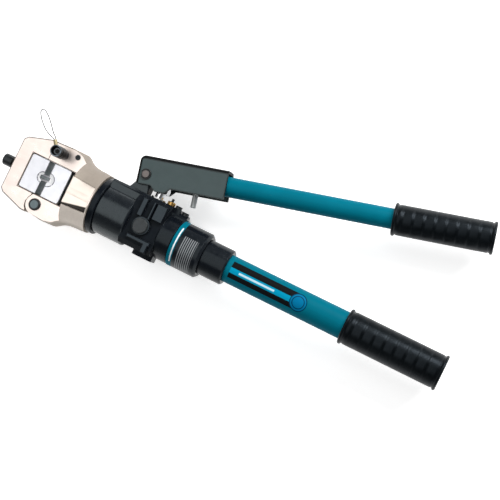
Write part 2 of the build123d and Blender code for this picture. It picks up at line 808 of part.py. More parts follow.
def make_pump_body():
    body = pump_casting() + pivot_lug()
    body -= rod_z(-lug_half_width, lug_half_width, pivot_pin_radius + seat_fit, pivot_x, pivot_y)
    # cylinder bore, swivel bore and snap ring groove
    body -= rod_x(collar_end_x, spigot_end_x + end_gap, spigot_bore)
    body -= rod_x(spigot_end_x, bore_end_x, piston_radius + running_fit)
    body -= rod_x(snap_ring_x, snap_ring_x + snap_ring_width,
                  spigot_radius + snap_ring_reach + seat_fit)
    body -= rod_x(bore_end_x, bore_end_x + return_rod_bite, return_rod_radius + seat_fit)
    # plunger chamber, gland thread and suction valve bore
    body -= rod_y(plunger_chamber_bottom_y, deck_top_y, plunger_radius + chamber_play, plunger_x)
    body -= rod_y(gland_thread_bottom_y, deck_top_y, gland_thread_radius + seat_fit, plunger_x)
    plug_bore_y = boss_bottom_y + bottom_plug_bore
    body -= rod_y(boss_bottom_y, plug_bore_y, bottom_plug_radius + seat_fit, bottom_plug_x)
    body -= rod_y(plug_bore_y, valve_seat_y, valve_ball_radius + running_fit, bottom_plug_x)
    # release button, relief valve, filler cap and valve stem
    body -= rod_y(release_bottom_y, deck_top_y, release_radius + running_fit, release_x)
    body -= rod_y(deck_top_y - relief_thread_length, deck_top_y, relief_thread_radius + seat_fit,
                  relief_x)
    body -= rod_y(deck_top_y - filler_thread_length, deck_top_y, filler_thread_radius + seat_fit,
                  filler_x)
    body -= rod_x(neck_end_x - valve_stem_bite, neck_end_x, valve_stem_radius + seat_fit,
                  valve_stem_y)
    return body


def make_side_plugs():
    """The two screwed plugs on the upper and lower sides of the pump block."""
    high = block_half_depth + rib_height
    plug = rod_z(high, high + plug_height, plug_radius)
    plug = chamfer(plug.edges().group_by(Axis.Z)[-1], plug_chamfer)
    plug = Pos(plug_x, 0, 0) * plug
    return Compound(children=[solid_of(plug), solid_of(mirror(plug, Plane.XY))])


def make_bottom_plug():
    low = boss_bottom_y + bottom_plug_recess
    plug = rod_y(low, low + bottom_plug_length, bottom_plug_radius, bottom_plug_x)
    socket = Plane((bottom_plug_x, low, 0), z_dir=(0, 1, 0))
    hexagon = RegularPolygon(bottom_plug_socket, 6, major_radius=False)
    return plug - socket * extrude(hexagon, bottom_plug_socket_depth)


def make_valve_ball():
    return Pos(bottom_plug_x, valve_seat_y - valve_ball_radius, 0) * Sphere(valve_ball_radius)


def make_valve_spring():
    low = boss_bottom_y + bottom_plug_bore
    top = valve_seat_y - 2 * valve_ball_radius
    radius = valve_ball_radius - end_gap
    return rod_y(low, top, radius, bottom_plug_x) - rod_y(low, top, radius - valve_spring_wall,
                                                          bottom_plug_x)


def make_relief_valve():
    cap = rod_y(deck_top_y, relief_top_y, relief_radius, relief_x)
    cap = chamfer(cap.edges().group_by(Axis.Y)[-1], relief_chamfer)
    cap += rod_y(deck_top_y - relief_thread_length, deck_top_y, relief_thread_radius, relief_x)
    return cap - rod_y(relief_top_y - relief_screw_bite, relief_top_y, relief_screw_radius + seat_fit,
                       relief_x)


def make_relief_screw():
    return rod_y(relief_top_y - relief_screw_bite, relief_screw_top_y, relief_screw_radius, relief_x)


def make_filler_cap():
    cap = rod_y(deck_top_y, filler_top_y, filler_radius, filler_x)
    cap = chamfer(cap.edges().group_by(Axis.Y)[-1], relief_chamfer)
    half_slot = filler_slot_width / 2
    cap -= block((filler_x - filler_radius, filler_x + filler_radius),
                 (filler_top_y - filler_slot_depth, filler_top_y), (-half_slot, half_slot))
    return cap + rod_y(deck_top_y - filler_thread_length, deck_top_y, filler_thread_radius, filler_x)


def make_valve_stem():
    return rod_x(neck_end_x - valve_stem_bite, valve_stem_end_x, valve_stem_radius, valve_stem_y)


def make_release_button():
    button = rod_y(release_top_y - release_length, release_top_y, release_radius, release_x)
    return fillet(button.edges().group_by(Axis.Y)[-1], release_round)


# ---------------------------------------------------------------- plunger
def make_gland():
    flange = rod_y(deck_top_y, gland_top_y, gland_radius, plunger_x)
    flange &= block((plunger_x - gland_radius, plunger_x + gland_radius), (deck_top_y, gland_top_y),
                    (-gland_key_width, gland_key_width))
    gland = flange + rod_y(gland_thread_bottom_y, deck_top_y, gland_thread_radius, plunger_x)
    gland -= rod_y(gland_thread_bottom_y, gland_top_y, plunger_radius + running_fit, plunger_x)
    seal_y = gland_thread_bottom_y
    return gland - rod_y(seal_y, seal_y + plunger_seal_width,
                         plunger_radius + plunger_seal_depth, plunger_x)


def make_plunger_seal():
    low, high = gland_thread_bottom_y, gland_thread_bottom_y + plunger_seal_width
    seal = rod_y(low, high, plunger_radius + plunger_seal_depth, plunger_x)
    return seal - rod_y(low, high, plunger_radius + running_fit, plunger_x)


def make_plunger():
    pin = drive_pin_at.position
    slot_half = drive_pin_radius + slot_play_along
    slot_height = drive_pin_radius + slot_play_across
    centre_x = pin.X - slot_offset
    low = pin.Y - slot_height - plunger_head_wall
    high = pin.Y + slot_height + plunger_head_wall
    head = block((centre_x - slot_half - plunger_head_wall, centre_x + slot_half + plunger_head_wall),
                 (low, high), (-plunger_head_half_width, plunger_head_half_width))
    head = fillet(head.edges().filter_by(Axis.Z), plunger_head_round)
    flat = slot_half - slot_height
    slot = block((centre_x - flat, centre_x + flat), (pin.Y - slot_height, pin.Y + slot_height),
                 (-plunger_head_half_width, plunger_head_half_width))
    for end in (-flat, flat):
        slot += rod_z(-plunger_head_half_width, plunger_head_half_width, slot_height,
                      centre_x + end, pin.Y)
    return head + rod_y(plunger_bottom_y, low, plunger_radius, plunger_x) - slot


# ---------------------------------------------------------------- moving handle
def make_channel():
    """Folded U-shaped bracket, open towards the body, in handle directions."""
    lobe_slope = channel_bottom - lobe_bottom
    side = [
        (channel_start, channel_bottom + channel_toe_rise),
        (channel_start + channel_toe_run, channel_bottom),
        (lobe_start, channel_bottom),
        (lobe_start + lobe_slope, lobe_bottom),
        (lobe_end - lobe_slope, lobe_bottom),
        (lobe_end, channel_bottom),
        (channel_end, channel_bottom),
        (channel_end, channel_top),
        (channel_start, channel_top),
    ]
    channel = plate(side, -channel_half_outside, channel_half_outside)
    corner = channel.edges().filter_by(Axis.Z).filter_by(
        lambda e: e.center().X < channel_start + tiny and e.center().Y > channel_top - tiny)
    channel = fillet(corner, channel_corner)
    folds = channel.edges().filter_by(Axis.X).filter_by(lambda e: e.center().Y > channel_top - tiny)
    channel = fillet(folds, channel_fold_radius)
    channel -= block((channel_start + channel_wall, channel_end),
                     (lobe_bottom, channel_top - channel_wall),
                     (-channel_half_inside, channel_half_inside))
    channel -= block((channel_start, channel_start + channel_wall), (lobe_bottom, channel_front_bottom),
                     (-channel_half_inside, channel_half_inside))
    across = channel_half_outside
    channel -= rod_z(-across, across, pivot_pin_radius + running_fit)
    pin_reach = channel_half_inside + drive_pin_bite
    channel -= rod_z(-pin_reach, pin_reach, drive_pin_radius + seat_fit, drive_along, drive_across)
    return handle_place * channel


def make_tube_adapter():
    start, shoulder = adapter_start, moving_tube_start
    half = channel_half_inside
    body = block((start, shoulder), (adapter_bottom, channel_top - channel_wall), (-half, half))
    spigot = rod_x(shoulder, shoulder + adapter_spigot_length,
                   moving_tube_radius - moving_tube_wall - seat_fit, moving_tube_across)
    body += spigot
    body -= rod_y(adapter_bottom, adapter_bottom + striker_bite, striker_radius + seat_fit,
                  striker_along)
    return handle_place * body


def make_striker():
    stud = rod_y(striker_tip, adapter_bottom + striker_bite, striker_radius, striker_along)
    stud = fillet(stud.edges().group_by(Axis.Y)[0], striker_round)
    return handle_place * stud


def make_moving_tube():
    end = moving_grip_end - grip_end_wall
    tube = rod_x(moving_tube_start, end, moving_tube_radius, moving_tube_across)
    tube -= rod_x(moving_tube_start, end, moving_tube_radius - moving_tube_wall, moving_tube_across)
    return handle_place * tube


def grip(start, end, flange_radius, radius, tube_radius):
    """Rubber grip with end flanges and stepped finger ridges, about X."""
    front_end, back_start = start + grip_flange_width, end - grip_flange_width
    ridge_start, ridge_end = front_end + grip_ridge_margin, back_start - grip_ridge_margin
    pitch = (ridge_end - ridge_start) / grip_ridges
    low_radius = radius - grip_ridge_height
    rim_radius = flange_radius - grip_flange_chamfer
    outline = [
        (start, rim_radius),
        (start + grip_flange_chamfer, flange_radius),
        (front_end - grip_flange_chamfer, flange_radius),
        (front_end, rim_radius),
        (front_end, low_radius),
    ]
    for ridge in range(grip_ridges):
        at = ridge_start + ridge * pitch
        outline.append((at, low_radius))
        outline.append((at + pitch * grip_ridge_rise, radius))
    outline += [
        (ridge_end, low_radius),
        (back_start, low_radius),
        (back_start, rim_radius),
        (back_start + grip_flange_chamfer, flange_radius),
        (end - grip_end_chamfer, flange_radius),
        (end, flange_radius - grip_end_chamfer),
    ]
    return turned(outline) - rod_x(start, end - grip_end_wall, tube_radius + seat_fit)


def make_moving_grip():
    rubber = grip(moving_grip_start, moving_grip_end, moving_grip_flange_radius,
                  moving_grip_radius, moving_tube_radius)
    return handle_place * (Pos(0, moving_tube_across, 0) * rubber)


def bevelled_pin(half_length, radius):
    pin = rod_z(-half_length, half_length, radius)
    return chamfer(pin.edges().group_by(Axis.Z)[-1] + pin.edges().group_by(Axis.Z)[0], pin_chamfer)


def make_drive_pin():
    across = channel_half_inside + drive_pin_bite - seat_fit
    return drive_pin_at * bevelled_pin(across, drive_pin_radius)


def make_pivot_pin():
    pin = bevelled_pin(channel_half_outside + end_gap + circlip_thickness + pivot_pin_tail,
                       pivot_pin_radius)
    for z0 in clip_places():
        pin -= (rod_z(z0, z0 + circlip_thickness, pivot_pin_radius)
                - rod_z(z0, z0 + circlip_thickness, pivot_pin_radius - circlip_groove))
    return Pos(pivot_x, pivot_y, 0) * pin


def clip_places():
    high = channel_half_outside + end_gap
    return (high, -high - circlip_thickness)


def make_pivot_clips():
    clips = [Pos(pivot_x, pivot_y, 0) * Rot(0, 0, clip_turn) * circlip(pivot_pin_radius, z0)
             for z0 in clip_places()]
    return Compound(children=[solid_of(clip) for clip in clips])


def make_pivot_washers():
    washers = []
    for z0, z1 in ((lug_half_width, channel_half_inside - end_gap),
                   (-channel_half_inside + end_gap, -lug_half_width)):
        ring = rod_z(z0, z1, washer_radius) - rod_z(z0, z1, pivot_pin_radius + seat_fit)
        washers.append(solid_of(Pos(pivot_x, pivot_y, 0) * ring))
    return Compound(children=washers)


# ---------------------------------------------------------------- fixed handle
def make_band():
    return ring_x(band_start_x, housing_start_x, rear_spigot_radius + seat_fit, band_radius)


def make_housing():
    outline = [
        (housing_start_x, housing_radius),
        (housing_end_x - housing_chamfer, housing_radius),
        (housing_end_x, housing_radius - housing_chamfer),
        (housing_end_x, housing_thread_radius),
        (fixed_tube_start_x, housing_thread_radius),
    ]
    body = turned(outline)
    body -= rod_x(housing_start_x, rear_spigot_end_x, rear_spigot_radius + seat_fit)
    return body - rod_x(rear_spigot_end_x, fixed_tube_start_x, fixed_tube_radius - fixed_tube_wall)


def make_tube_nut():
    nut = turned([
        (housing_end_x, nut_radius - nut_start_chamfer),
        (housing_end_x + nut_start_chamfer, nut_radius),
        (nut_end_x - nut_chamfer, nut_radius),
        (nut_end_x, nut_radius - nut_chamfer),
    ])
    nut -= rod_x(housing_end_x, fixed_tube_start_x, housing_thread_radius + seat_fit)
    return nut - rod_x(fixed_tube_start_x, nut_end_x, fixed_tube_radius + seat_fit)


def make_fixed_tube():
    end = fixed_grip_end_x - grip_end_wall
    return ring_x(fixed_tube_start_x, end, fixed_tube_radius - fixed_tube_wall, fixed_tube_radius)


def make_bladder():
    radius = fixed_tube_radius - fixed_tube_wall - bladder_gap
    sack = rod_x(bladder_start_x, bladder_end_x, radius)
    sack = fillet(sack.edges().group_by(Axis.X)[-1], bladder_round)
    return sack - rod_x(bladder_start_x, bladder_end_x - bladder_end_wall, radius - bladder_wall)


def make_fixed_grip():
    return grip(fixed_grip_start_x, fixed_grip_end_x, fixed_grip_flange_radius, fixed_grip_radius,
                fixed_tube_radius)


# ---------------------------------------------------------------- lanyard
def ferrule_axis():
    turn = radians(ferrule_direction)
    return Vector(cos(turn), sin(turn), 0)


def ferrule_end():
    along = ferrule_axis()
    return Vector(lock_x, lock_y, ferrule_z) + along * (knob_radius + ferrule_length)


def make_ferrule():
    body = rod((lock_x, lock_y, ferrule_z), tuple(ferrule_end()), ferrule_radius)
    return body - rod_z(ferrule_z - ferrule_radius, ferrule_z + ferrule_radius, knob_radius,
                        lock_x, lock_y)


def lanyard_points():
    """Route of the wire loop: out of the ferrule, round the far end and back."""
    along = ferrule_axis()
    across = Vector(-along.Y, along.X, 0)
    low = ferrule_end() + across * (leg_spacing / 2)
    high = ferrule_end() - across * (leg_spacing / 2)
    loop = [Vector(*place) for place in lanyard_route]
    return [low, low + along * low_leg_length, *loop, high + along * high_leg_length, high]


def route_radii(points):
    """Arc radius at each inner point, so that the arcs at both ends of a run fit on it."""
    radii = []
    for before, at, after in zip(points, points[1:], points[2:]):
        turn = radians((at - before).get_angle(after - at))
        shorter = min((at - before).length, (after - at).length)
        radii.append(bend_share * shorter / tan(turn / 2))
    return radii


def make_lanyard():
    points = lanyard_points()
    path = FilletPolyline(*points, radius=route_radii(points))
    section = Plane(origin=points[0], z_dir=points[1] - points[0]) * Circle(lanyard_radius)
    return sweep(section, path=path)


# ---------------------------------------------------------------- assembly
def make_all():
    return {
        "yoke": make_yoke(),
        "hinge_pin": make_hinge_pin(),
        "hinge_pin_clip": make_hinge_clip(),
        "lock_pin_bush": make_lock_bush(),
        "bush_stop_screw": make_stop_screw(),
        "ram_wiper_ring": make_ram_wiper(),
        "head_seal_ring": make_head_oring(),
        "latch": make_latch(),
        "outer_die": make_die(0.0, -1, outer_flare_radius),
        "die_button_bush": make_button_bush(),
        "die_button": make_die_button(),
        "lock_pin": make_lock_pin(),
        "lock_pin_knob": make_lock_knob(),
        "lanyard_ferrule": make_ferrule(),
        "lanyard_loop": make_lanyard(),
        "ram": make_ram(),
        "ram_die_seat": make_ram_seat(),
        "ram_die_pin": make_seat_pin(),
        "inner_die": make_die(inner_die_x, 1, inner_flare_radius),
        "piston_seal": make_piston_seal(),
        "pump_body": make_pump_body(),
        "swivel_collar": make_swivel_collar(),
        "swivel_snap_ring": make_snap_ring(),
        "ram_return_rod": make_return_rod(),
        "ram_return_spring": make_return_spring(),
        "side_plugs": make_side_plugs(),
        "suction_valve_plug": make_bottom_plug(),
        "suction_valve_ball": make_valve_ball(),
        "suction_valve_spring": make_valve_spring(),
        "relief_valve": make_relief_valve(),
        "relief_valve_screw": make_relief_screw(),
        "oil_filler_cap": make_filler_cap(),
        "valve_stem": make_valve_stem(),
        "release_button": make_release_button(),
        "plunger_gland": make_gland(),
        "plunger_seal": make_plunger_seal(),
        "plunger": make_plunger(),
        "pivot_pin": make_pivot_pin(),
        "pivot_pin_clips": make_pivot_clips(),
        "pivot_washers": make_pivot_washers(),
        "handle_channel": make_channel(),
        "drive_pin": make_drive_pin(),
        "tube_adapter": make_tube_adapter(),
        "release_striker": make_striker(),
        "moving_handle_tube": make_moving_tube(),
        "moving_handle_grip": make_moving_grip(),
        "teal_band": make_band(),
        "reservoir_housing": make_housing(),
        "tube_nut": make_tube_nut(),
        "fixed_handle_tube": make_fixed_tube(),
        "oil_bladder": make_bladder(),
        "fixed_handle_grip": make_fixed_grip(),
    }


CORD_NODES = ("lanyard_ferrule", "lanyard_loop")


def base_centre(parts):
    """Bottom centre of the box round every node except the lanyard's."""
    boxes = [shape.bounding_box() for node, shape in parts.items() if node not in CORD_NODES]
    low = Vector(*(min(getattr(b.min, axis) for b in boxes) for axis in "XYZ"))
    high = Vector(*(max(getattr(b.max, axis) for b in boxes) for axis in "XYZ"))
    return Vector((low.X + high.X) / 2, (low.Y + high.Y) / 2, low.Z)


parts = make_all()
origin = base_centre(parts)
print("origin in the working frame", origin)
os.makedirs("parts", exist_ok=True)
for node, shape in parts.items():
    placed = Pos(-origin.X, -origin.Y, -origin.Z) * solid_of(shape)
    export_step(placed, f"parts/{node}.step")
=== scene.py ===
import json
from math import cos, pi, radians, sin

import bpy
from mathutils import Matrix, Vector


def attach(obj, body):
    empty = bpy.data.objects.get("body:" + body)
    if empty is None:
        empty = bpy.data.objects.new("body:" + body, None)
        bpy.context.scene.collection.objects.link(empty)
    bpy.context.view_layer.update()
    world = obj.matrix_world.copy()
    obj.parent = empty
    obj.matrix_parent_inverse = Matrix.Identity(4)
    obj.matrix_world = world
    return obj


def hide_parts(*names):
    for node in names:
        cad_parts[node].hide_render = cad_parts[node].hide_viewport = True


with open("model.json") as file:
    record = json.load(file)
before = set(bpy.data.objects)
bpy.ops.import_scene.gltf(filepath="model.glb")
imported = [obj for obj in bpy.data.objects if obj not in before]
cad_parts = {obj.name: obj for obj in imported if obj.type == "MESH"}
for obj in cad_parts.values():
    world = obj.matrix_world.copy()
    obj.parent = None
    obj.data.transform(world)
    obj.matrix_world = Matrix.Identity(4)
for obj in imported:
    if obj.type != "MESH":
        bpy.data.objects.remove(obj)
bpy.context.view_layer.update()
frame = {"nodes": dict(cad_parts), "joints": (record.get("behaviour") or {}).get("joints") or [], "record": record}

MM = 0.001
X, Y, Z = range(3)

# ---------------------------------------------------------------- places
# The tool's own directions: X along the ram from the closed dies to the grips, Y towards the moving
# handle, Z up through the flat sides of the head. Sizes below are millimetres in these directions, and
# at() turns a place into the frame.
JOINTS = {joint["name"]: joint for joint in frame["joints"]}
COLLAR_START = 76.5          # X of the swivel joint, where the turned head meets the collar
CYLINDER_END = 125.0         # where the pump's round barrel ends and its block begins
BLOCK_END = 168.5
NECK_END = 218.5             # past the end of the pump body
ORIGIN = Vector(JOINTS["head_swivel"]["pos_m"]) - Vector((COLLAR_START * MM, 0, 0))


def at(x, y, z=0.0):
    """A place in the tool's own millimetres, as a point of the frame in metres."""
    return ORIGIN + Vector((x, y, z)) * MM


PIVOT = Vector(JOINTS["handle_pivot"]["pos_m"])
HANDLE_ANGLE = radians(14.25)    # of the moving handle at rest, from the tool's X
HANDLE = Matrix.Translation(PIVOT) @ Matrix.Rotation(HANDLE_ANGLE, 4, "Z")
TUBE_ACROSS = 5.0            # the moving tube's axis lies this far to the +Y side of the pivot
KNOB_AT = (13.0, 36.9)       # X and Y of the lock pin and its knob
KNOB_RADIUS = 7.3
KNOB_TOP = 50.0


# ---------------------------------------------------------------- materials
NOISE_SPAN = (0.3, 0.7)      # most of a noise lies between these
BEVEL_SAMPLES = 4


def srgb(red, green, blue):
    """A colour seen as 0-255 on screen, as the linear colour that a shader takes."""
    def line(value):
        value /= 255
        return value / 12.92 if value <= 0.04045 else ((value + 0.055) / 1.055) ** 2.4
    return (line(red), line(green), line(blue), 1.0)


class Shader:
    """A material with a Principled BSDF, and short calls that add detail to it.

    Its colour and roughness stay plain values until a call adds detail to them."""

    def __init__(self, name, colour, roughness, metallic=0.0, specular=0.5):
        self.material = bpy.data.materials.new(name)
        self.material.use_nodes = True
        self.tree = self.material.node_tree
        self.bsdf = self.tree.nodes["Principled BSDF"]
        self.bsdf.inputs["Metallic"].default_value = metallic
        self.bsdf.inputs["Specular IOR Level"].default_value = specular
        self.colour = colour
        self.roughness = roughness
        self.bump = None
        self.place = self.node("ShaderNodeTexCoord").outputs["Object"]

    def node(self, kind, **settings):
        made = self.tree.nodes.new(kind)
        for key, setting in settings.items():
            setattr(made, key, setting)
        return made

    def link(self, start, end):
        self.tree.links.new(start, end)

    def feed(self, entry, socket):
        """Sets a socket to a number or a colour, or links another node's socket to it."""
        if isinstance(entry, (int, float, tuple)):
            socket.default_value = entry
        else:
            self.link(entry, socket)

    def maths(self, operation, first, second=0.0, third=0.0, clamp=False):
        node = self.node("ShaderNodeMath", operation=operation, use_clamp=clamp)
        for socket, entry in zip(node.inputs, (first, second, third)):
            self.feed(entry, socket)
        return node.outputs[0]

    def ramp(self, factor, low, high, start=0.0, end=1.0):
        """factor between low and high, taken to start and end."""
        node = self.node("ShaderNodeMapRange", clamp=True)
        self.link(factor, node.inputs["Value"])
        for key, number in zip(("From Min", "From Max", "To Min", "To Max"),
                               (low, high, start, end)):
            node.inputs[key].default_value = number
        return node.outputs[0]

    def mix(self, factor, first, second):
        node = self.node("ShaderNodeMix", data_type="RGBA")
        for number, entry in ((0, factor), (6, first), (7, second)):
            self.feed(entry, node.inputs[number])
        return node.outputs[2]

    def noise(self, size_mm, detail=3.0, stretch=(1, 1, 1), roughness=0.5):
        """Noise whose features are about size_mm across, drawn out along each axis by stretch."""
        stretched = self.node("ShaderNodeMapping")
        self.link(self.place, stretched.inputs["Vector"])
        stretched.inputs["Scale"].default_value = [1 / (size_mm * MM * times) for times in stretch]
        node = self.node("ShaderNodeTexNoise")
        self.link(stretched.outputs[0], node.inputs["Vector"])
        node.inputs["Scale"].default_value = 1.0
        node.inputs["Detail"].default_value = detail
        node.inputs["Roughness"].default_value = roughness
        return node.outputs["Fac"]

    def axis(self, index):
        """The tool's X, Y or Z in millimetres."""
        split = self.node("ShaderNodeSeparateXYZ")
        self.link(self.place, split.inputs[0])
        shifted = self.maths("SUBTRACT", split.outputs[index], ORIGIN[index])
        return self.maths("DIVIDE", shifted, MM)

    def normal(self, index):
        """Size of the surface normal's part along the tool's X, Y or Z."""
        split = self.node("ShaderNodeSeparateXYZ")
        self.link(self.node("ShaderNodeTexCoord").outputs["Normal"], split.inputs[0])
        return self.maths("ABSOLUTE", split.outputs[index])

    def facing(self, index, low, high):
        """0 where the surface turns away from the tool's X, Y or Z and 1 where it faces along it."""
        return self.ramp(self.normal(index), low, high)

    def distance(self, x, y):
        """Millimetres from the line through a place (x, y) of the tool along Z."""
        across = self.maths("SUBTRACT", self.axis(X), x)
        along = self.maths("SUBTRACT", self.axis(Y), y)
        squares = self.maths("MULTIPLY", along, along)
        return self.maths("SQRT", self.maths("MULTIPLY_ADD", across, across, squares))

    def band(self, value, middle, half_width, soft):
        """1 where value is within half_width of middle, falling to 0 over soft."""
        off = self.maths("ABSOLUTE", self.maths("SUBTRACT", value, middle))
        return self.ramp(off, half_width, half_width + soft, 1.0, 0.0)

    def both(self, first, second):
        """1 where two masks are both 1."""
        return self.maths("MULTIPLY", first, second)

    def turn(self):
        """Degrees round the ram axis, from the top of the tool towards +Y."""
        radians_round = self.maths("ARCTAN2", self.axis(Y), self.axis(Z))
        return self.maths("DEGREES", radians_round)

    def tint(self, mask, colour, amount=1.0):
        """Mixes that amount of colour in where mask is 1."""
        if amount < 1.0:
            mask = self.both(mask, amount)
        self.colour = self.mix(mask, self.colour, colour)

    def shift(self, factor, amount):
        """Makes the colour lighter where factor is high and darker where it is low."""
        node = self.node("ShaderNodeHueSaturation")
        self.feed(self.colour, node.inputs["Color"])
        self.link(self.ramp(factor, *NOISE_SPAN, 1 - amount, 1 + amount), node.inputs["Value"])
        self.colour = node.outputs[0]

    def rough(self, factor, amount):
        """Makes the surface duller where factor is high and smoother where it is low."""
        self.roughness = self.maths(
            "ADD", self.roughness, self.ramp(factor, *NOISE_SPAN, -amount, amount), clamp=True)

    def relief(self, height, depth_mm, strength=1.0):
        """Bump of that depth from a height between 0 and 1."""
        node = self.node("ShaderNodeBump")
        node.inputs["Strength"].default_value = strength
        node.inputs["Distance"].default_value = depth_mm * MM
        self.link(height, node.inputs["Height"])
        if self.bump is not None:
            self.link(self.bump, node.inputs["Normal"])
        self.bump = node.outputs[0]

    def soft_edges(self, radius_mm):
        """Rounds the look of sharp edges; call it before relief."""
        node = self.node("ShaderNodeBevel", samples=BEVEL_SAMPLES)
        node.inputs["Radius"].default_value = radius_mm * MM
        self.bump = node.outputs[0]

    def edges(self, radius_mm, low=0.02, high=0.25):
        """1 along sharp edges and 0 on open faces."""
        bevel = self.node("ShaderNodeBevel", samples=BEVEL_SAMPLES)
        bevel.inputs["Radius"].default_value = radius_mm * MM
        geometry = self.node("ShaderNodeNewGeometry")
        dot = self.node("ShaderNodeVectorMath", operation="DOT_PRODUCT")
        self.link(bevel.outputs[0], dot.inputs[0])
        self.link(geometry.outputs["Normal"], dot.inputs[1])
        off = self.maths("SUBTRACT", 1.0, dot.outputs["Value"])
        return self.ramp(off, low, high)

    def done(self):
        self.feed(self.colour, self.bsdf.inputs["Base Color"])
        self.feed(self.roughness, self.bsdf.inputs["Roughness"])
        if self.bump is not None:
            self.link(self.bump, self.bsdf.inputs["Normal"])
        return self.material


def worn(shader, colour, radius_mm, amount, patch_mm=3.0):
    """Bare metal or scuffs that show in patches along the edges."""
    patches = shader.ramp(shader.noise(patch_mm, detail=4.0), 0.42, 0.62)
    shader.tint(shader.both(shader.edges(radius_mm), patches), colour, amount)


HEAD_COLOUR = srgb(234, 221, 213)
# Grey of the head's turned and sawn sides: their duller finish, with painted shade
ARM_TONE_AND_SHADE = srgb(172, 162, 150)
# Painted shade on the upper arm's sides; painted light on the lower arm's sides
UPPER_ARM_SHADE = srgb(152, 142, 131)
LOWER_ARM_LIGHT = srgb(232, 222, 211)
# Brown used for painted shade along the head's edges, and for wear patches there
EDGE_SHADE_AND_WEAR_BROWN = srgb(112, 94, 82)
# Brown used for painted shade on the chamfers, round the window and along the ram's edges
SHADE_BROWN = srgb(58, 44, 38)
RUBBED_ENAMEL = srgb(96, 100, 104)
# Near-black used as painted shade on the bracket
BRACKET_SHADE_BLACK = srgb(14, 17, 18)
TEAL = srgb(0, 107, 127)
HANDLE_SPECULAR = 0.2        # of the black paint from the pump's neck to the nut

# Places on the tool, in millimetres
ARMS_X, ARMS_SPLIT_Y = (18.0, 24.0), (-4.0, 4.0)     # start of the two arms, and the line between
CHAMFER_LINE_X = (20.0, 23.0)                # over which the painted shade line on the chamfers ends
WINDOW_X, WINDOW_Y = (5.95, 30.85), 23.0     # middle and half length, half height
SHADOW_X, SHADOW_Y = (37.0, 69.0), (-15.8, -9.2)       # upper edge of the painted shadow on the ram's lower flank
RAISED_Z = (29.0, 30.5)      # over which the pump block's raised faces begin, which carry the painted sheen
FOLD_LINE = (46.2, 47.6)     # where the bracket darkens with painted shade towards its fold, across the handle
KNOB_CUP, KNOB_CUP_RADIUS = 6.0, 5.9         # depth and radius of the knob's open top
PIN_HIGHLIGHT_RADIUS = 3.4        # painted highlight ring on the end of the pin, in the knob's cup
HINGE_PIN_AT, HINGE_PIN_BRIGHT = (6.8, -34.5), 5.6           # middle, and radius of its light end
PIVOT_PIN_AT, PIVOT_PIN_BRIGHT = (117.9, 59.3), 4.8
OUTER_DIE_FACE, OUTER_FLARE_RADIUS = 0.0, 6.5        # X of the crimp face, radius of its mouth
INNER_DIE_FACE, INNER_FLARE_RADIUS = 7.8, 8.2

# Printed marks, as (middle, half width): millimetres, and degrees round the ram axis
LABEL_X, LABEL_TURN, LABEL_PITCH = (208.5, 9.5), (-21.0, 46.0), 2.6
BAND_LINE_X, BAND_LINE_TURN = (191.9, 0.7), (-5.0, 48.0)
STRIPES_X = (310.0, 45.5)
BLACK_STRIPES_Y = ((7.5, 3.5), (-6.4, 2.8))
BRIGHT_STRIPE_Y = (0.2, 3.0)
INLAY_X, INLAY_Y = (300.0, 23.5), (0.2, 1.1)
DISC_AT = (355.5, 0.5)
DISC_RADIUS = 10.7
DISC_RINGS = (10.4, 7.4)


def make_head_steel():
    """Satin plated flats, with duller turned and sawn sides whose grey is partly painted shade; the upper arm's
    sides carry darker painted shade and the lower arm's sides painted light.
    """
    s = Shader("nickel_plated_steel", HEAD_COLOUR, 0.30)
    flats = s.facing(Z, 0.90, 0.985)
    sides = s.maths("SUBTRACT", 1.0, flats)
    s.soft_edges(0.5)
    below = s.ramp(s.axis(Y), *ARMS_SPLIT_Y, 1.0, 0.0)
    arms = s.ramp(s.axis(X), *ARMS_X)
    # Painted shade: grey on the faces that turn away from Z, darker on the upper arm; painted light makes the
    # lower arm's sides cream, except its steep faces, which keep painted shade
    s.tint(sides, ARM_TONE_AND_SHADE)
    s.tint(s.both(sides, arms), UPPER_ARM_SHADE)
    s.tint(s.both(s.both(sides, arms), below), LOWER_ARM_LIGHT)
    steep_shade = s.ramp(s.normal(Z), 0.25, 0.5, 0.8, 0.0)
    s.tint(s.both(s.both(steep_shade, arms), below), ARM_TONE_AND_SHADE)
    s.roughness = s.ramp(sides, 0.0, 1.0, 0.30, 0.62)
    s.link(s.ramp(sides, 0.0, 1.0, 0.9, 0.25), s.bsdf.inputs["Metallic"])
    s.shift(s.noise(26, detail=2), 0.03)
    s.shift(s.noise(1.2, detail=2, stretch=(14, 1, 1)), 0.02)
    s.shift(s.both(sides, s.noise(3, detail=4, stretch=(1, 3, 3))), 0.03)
    s.rough(s.noise(9, detail=4), 0.05)
    s.relief(s.noise(0.35, detail=2, stretch=(24, 1, 1)), 0.004, 0.5)
    # Painted shade: brown lines on the 45-degree chamfers near the jaw end, round the window on the flats, and
    # along every edge
    chamfer_shade = s.band(s.normal(Z), 0.707, 0.06, 0.04)
    chamfer_shade = s.both(chamfer_shade, s.ramp(s.axis(X), *CHAMFER_LINE_X, 1.0, 0.0))
    s.tint(chamfer_shade, SHADE_BROWN, 0.75)
    middle, half_length = WINDOW_X
    x_off = s.maths("ABSOLUTE", s.maths("SUBTRACT", s.axis(X), middle))
    x_past = s.maths("SUBTRACT", x_off, half_length)
    y_past = s.maths("SUBTRACT", s.maths("ABSOLUTE", s.axis(Y)), WINDOW_Y)
    window_shade_line = s.band(s.maths("MAXIMUM", x_past, y_past), 0.2, 0.35, 0.4)
    s.tint(s.both(window_shade_line, flats), SHADE_BROWN, 0.85)
    s.tint(s.edges(1.1), EDGE_SHADE_AND_WEAR_BROWN, 0.5)
    worn(s, EDGE_SHADE_AND_WEAR_BROWN, 0.7, 0.8, 6.0)
    return s.done()


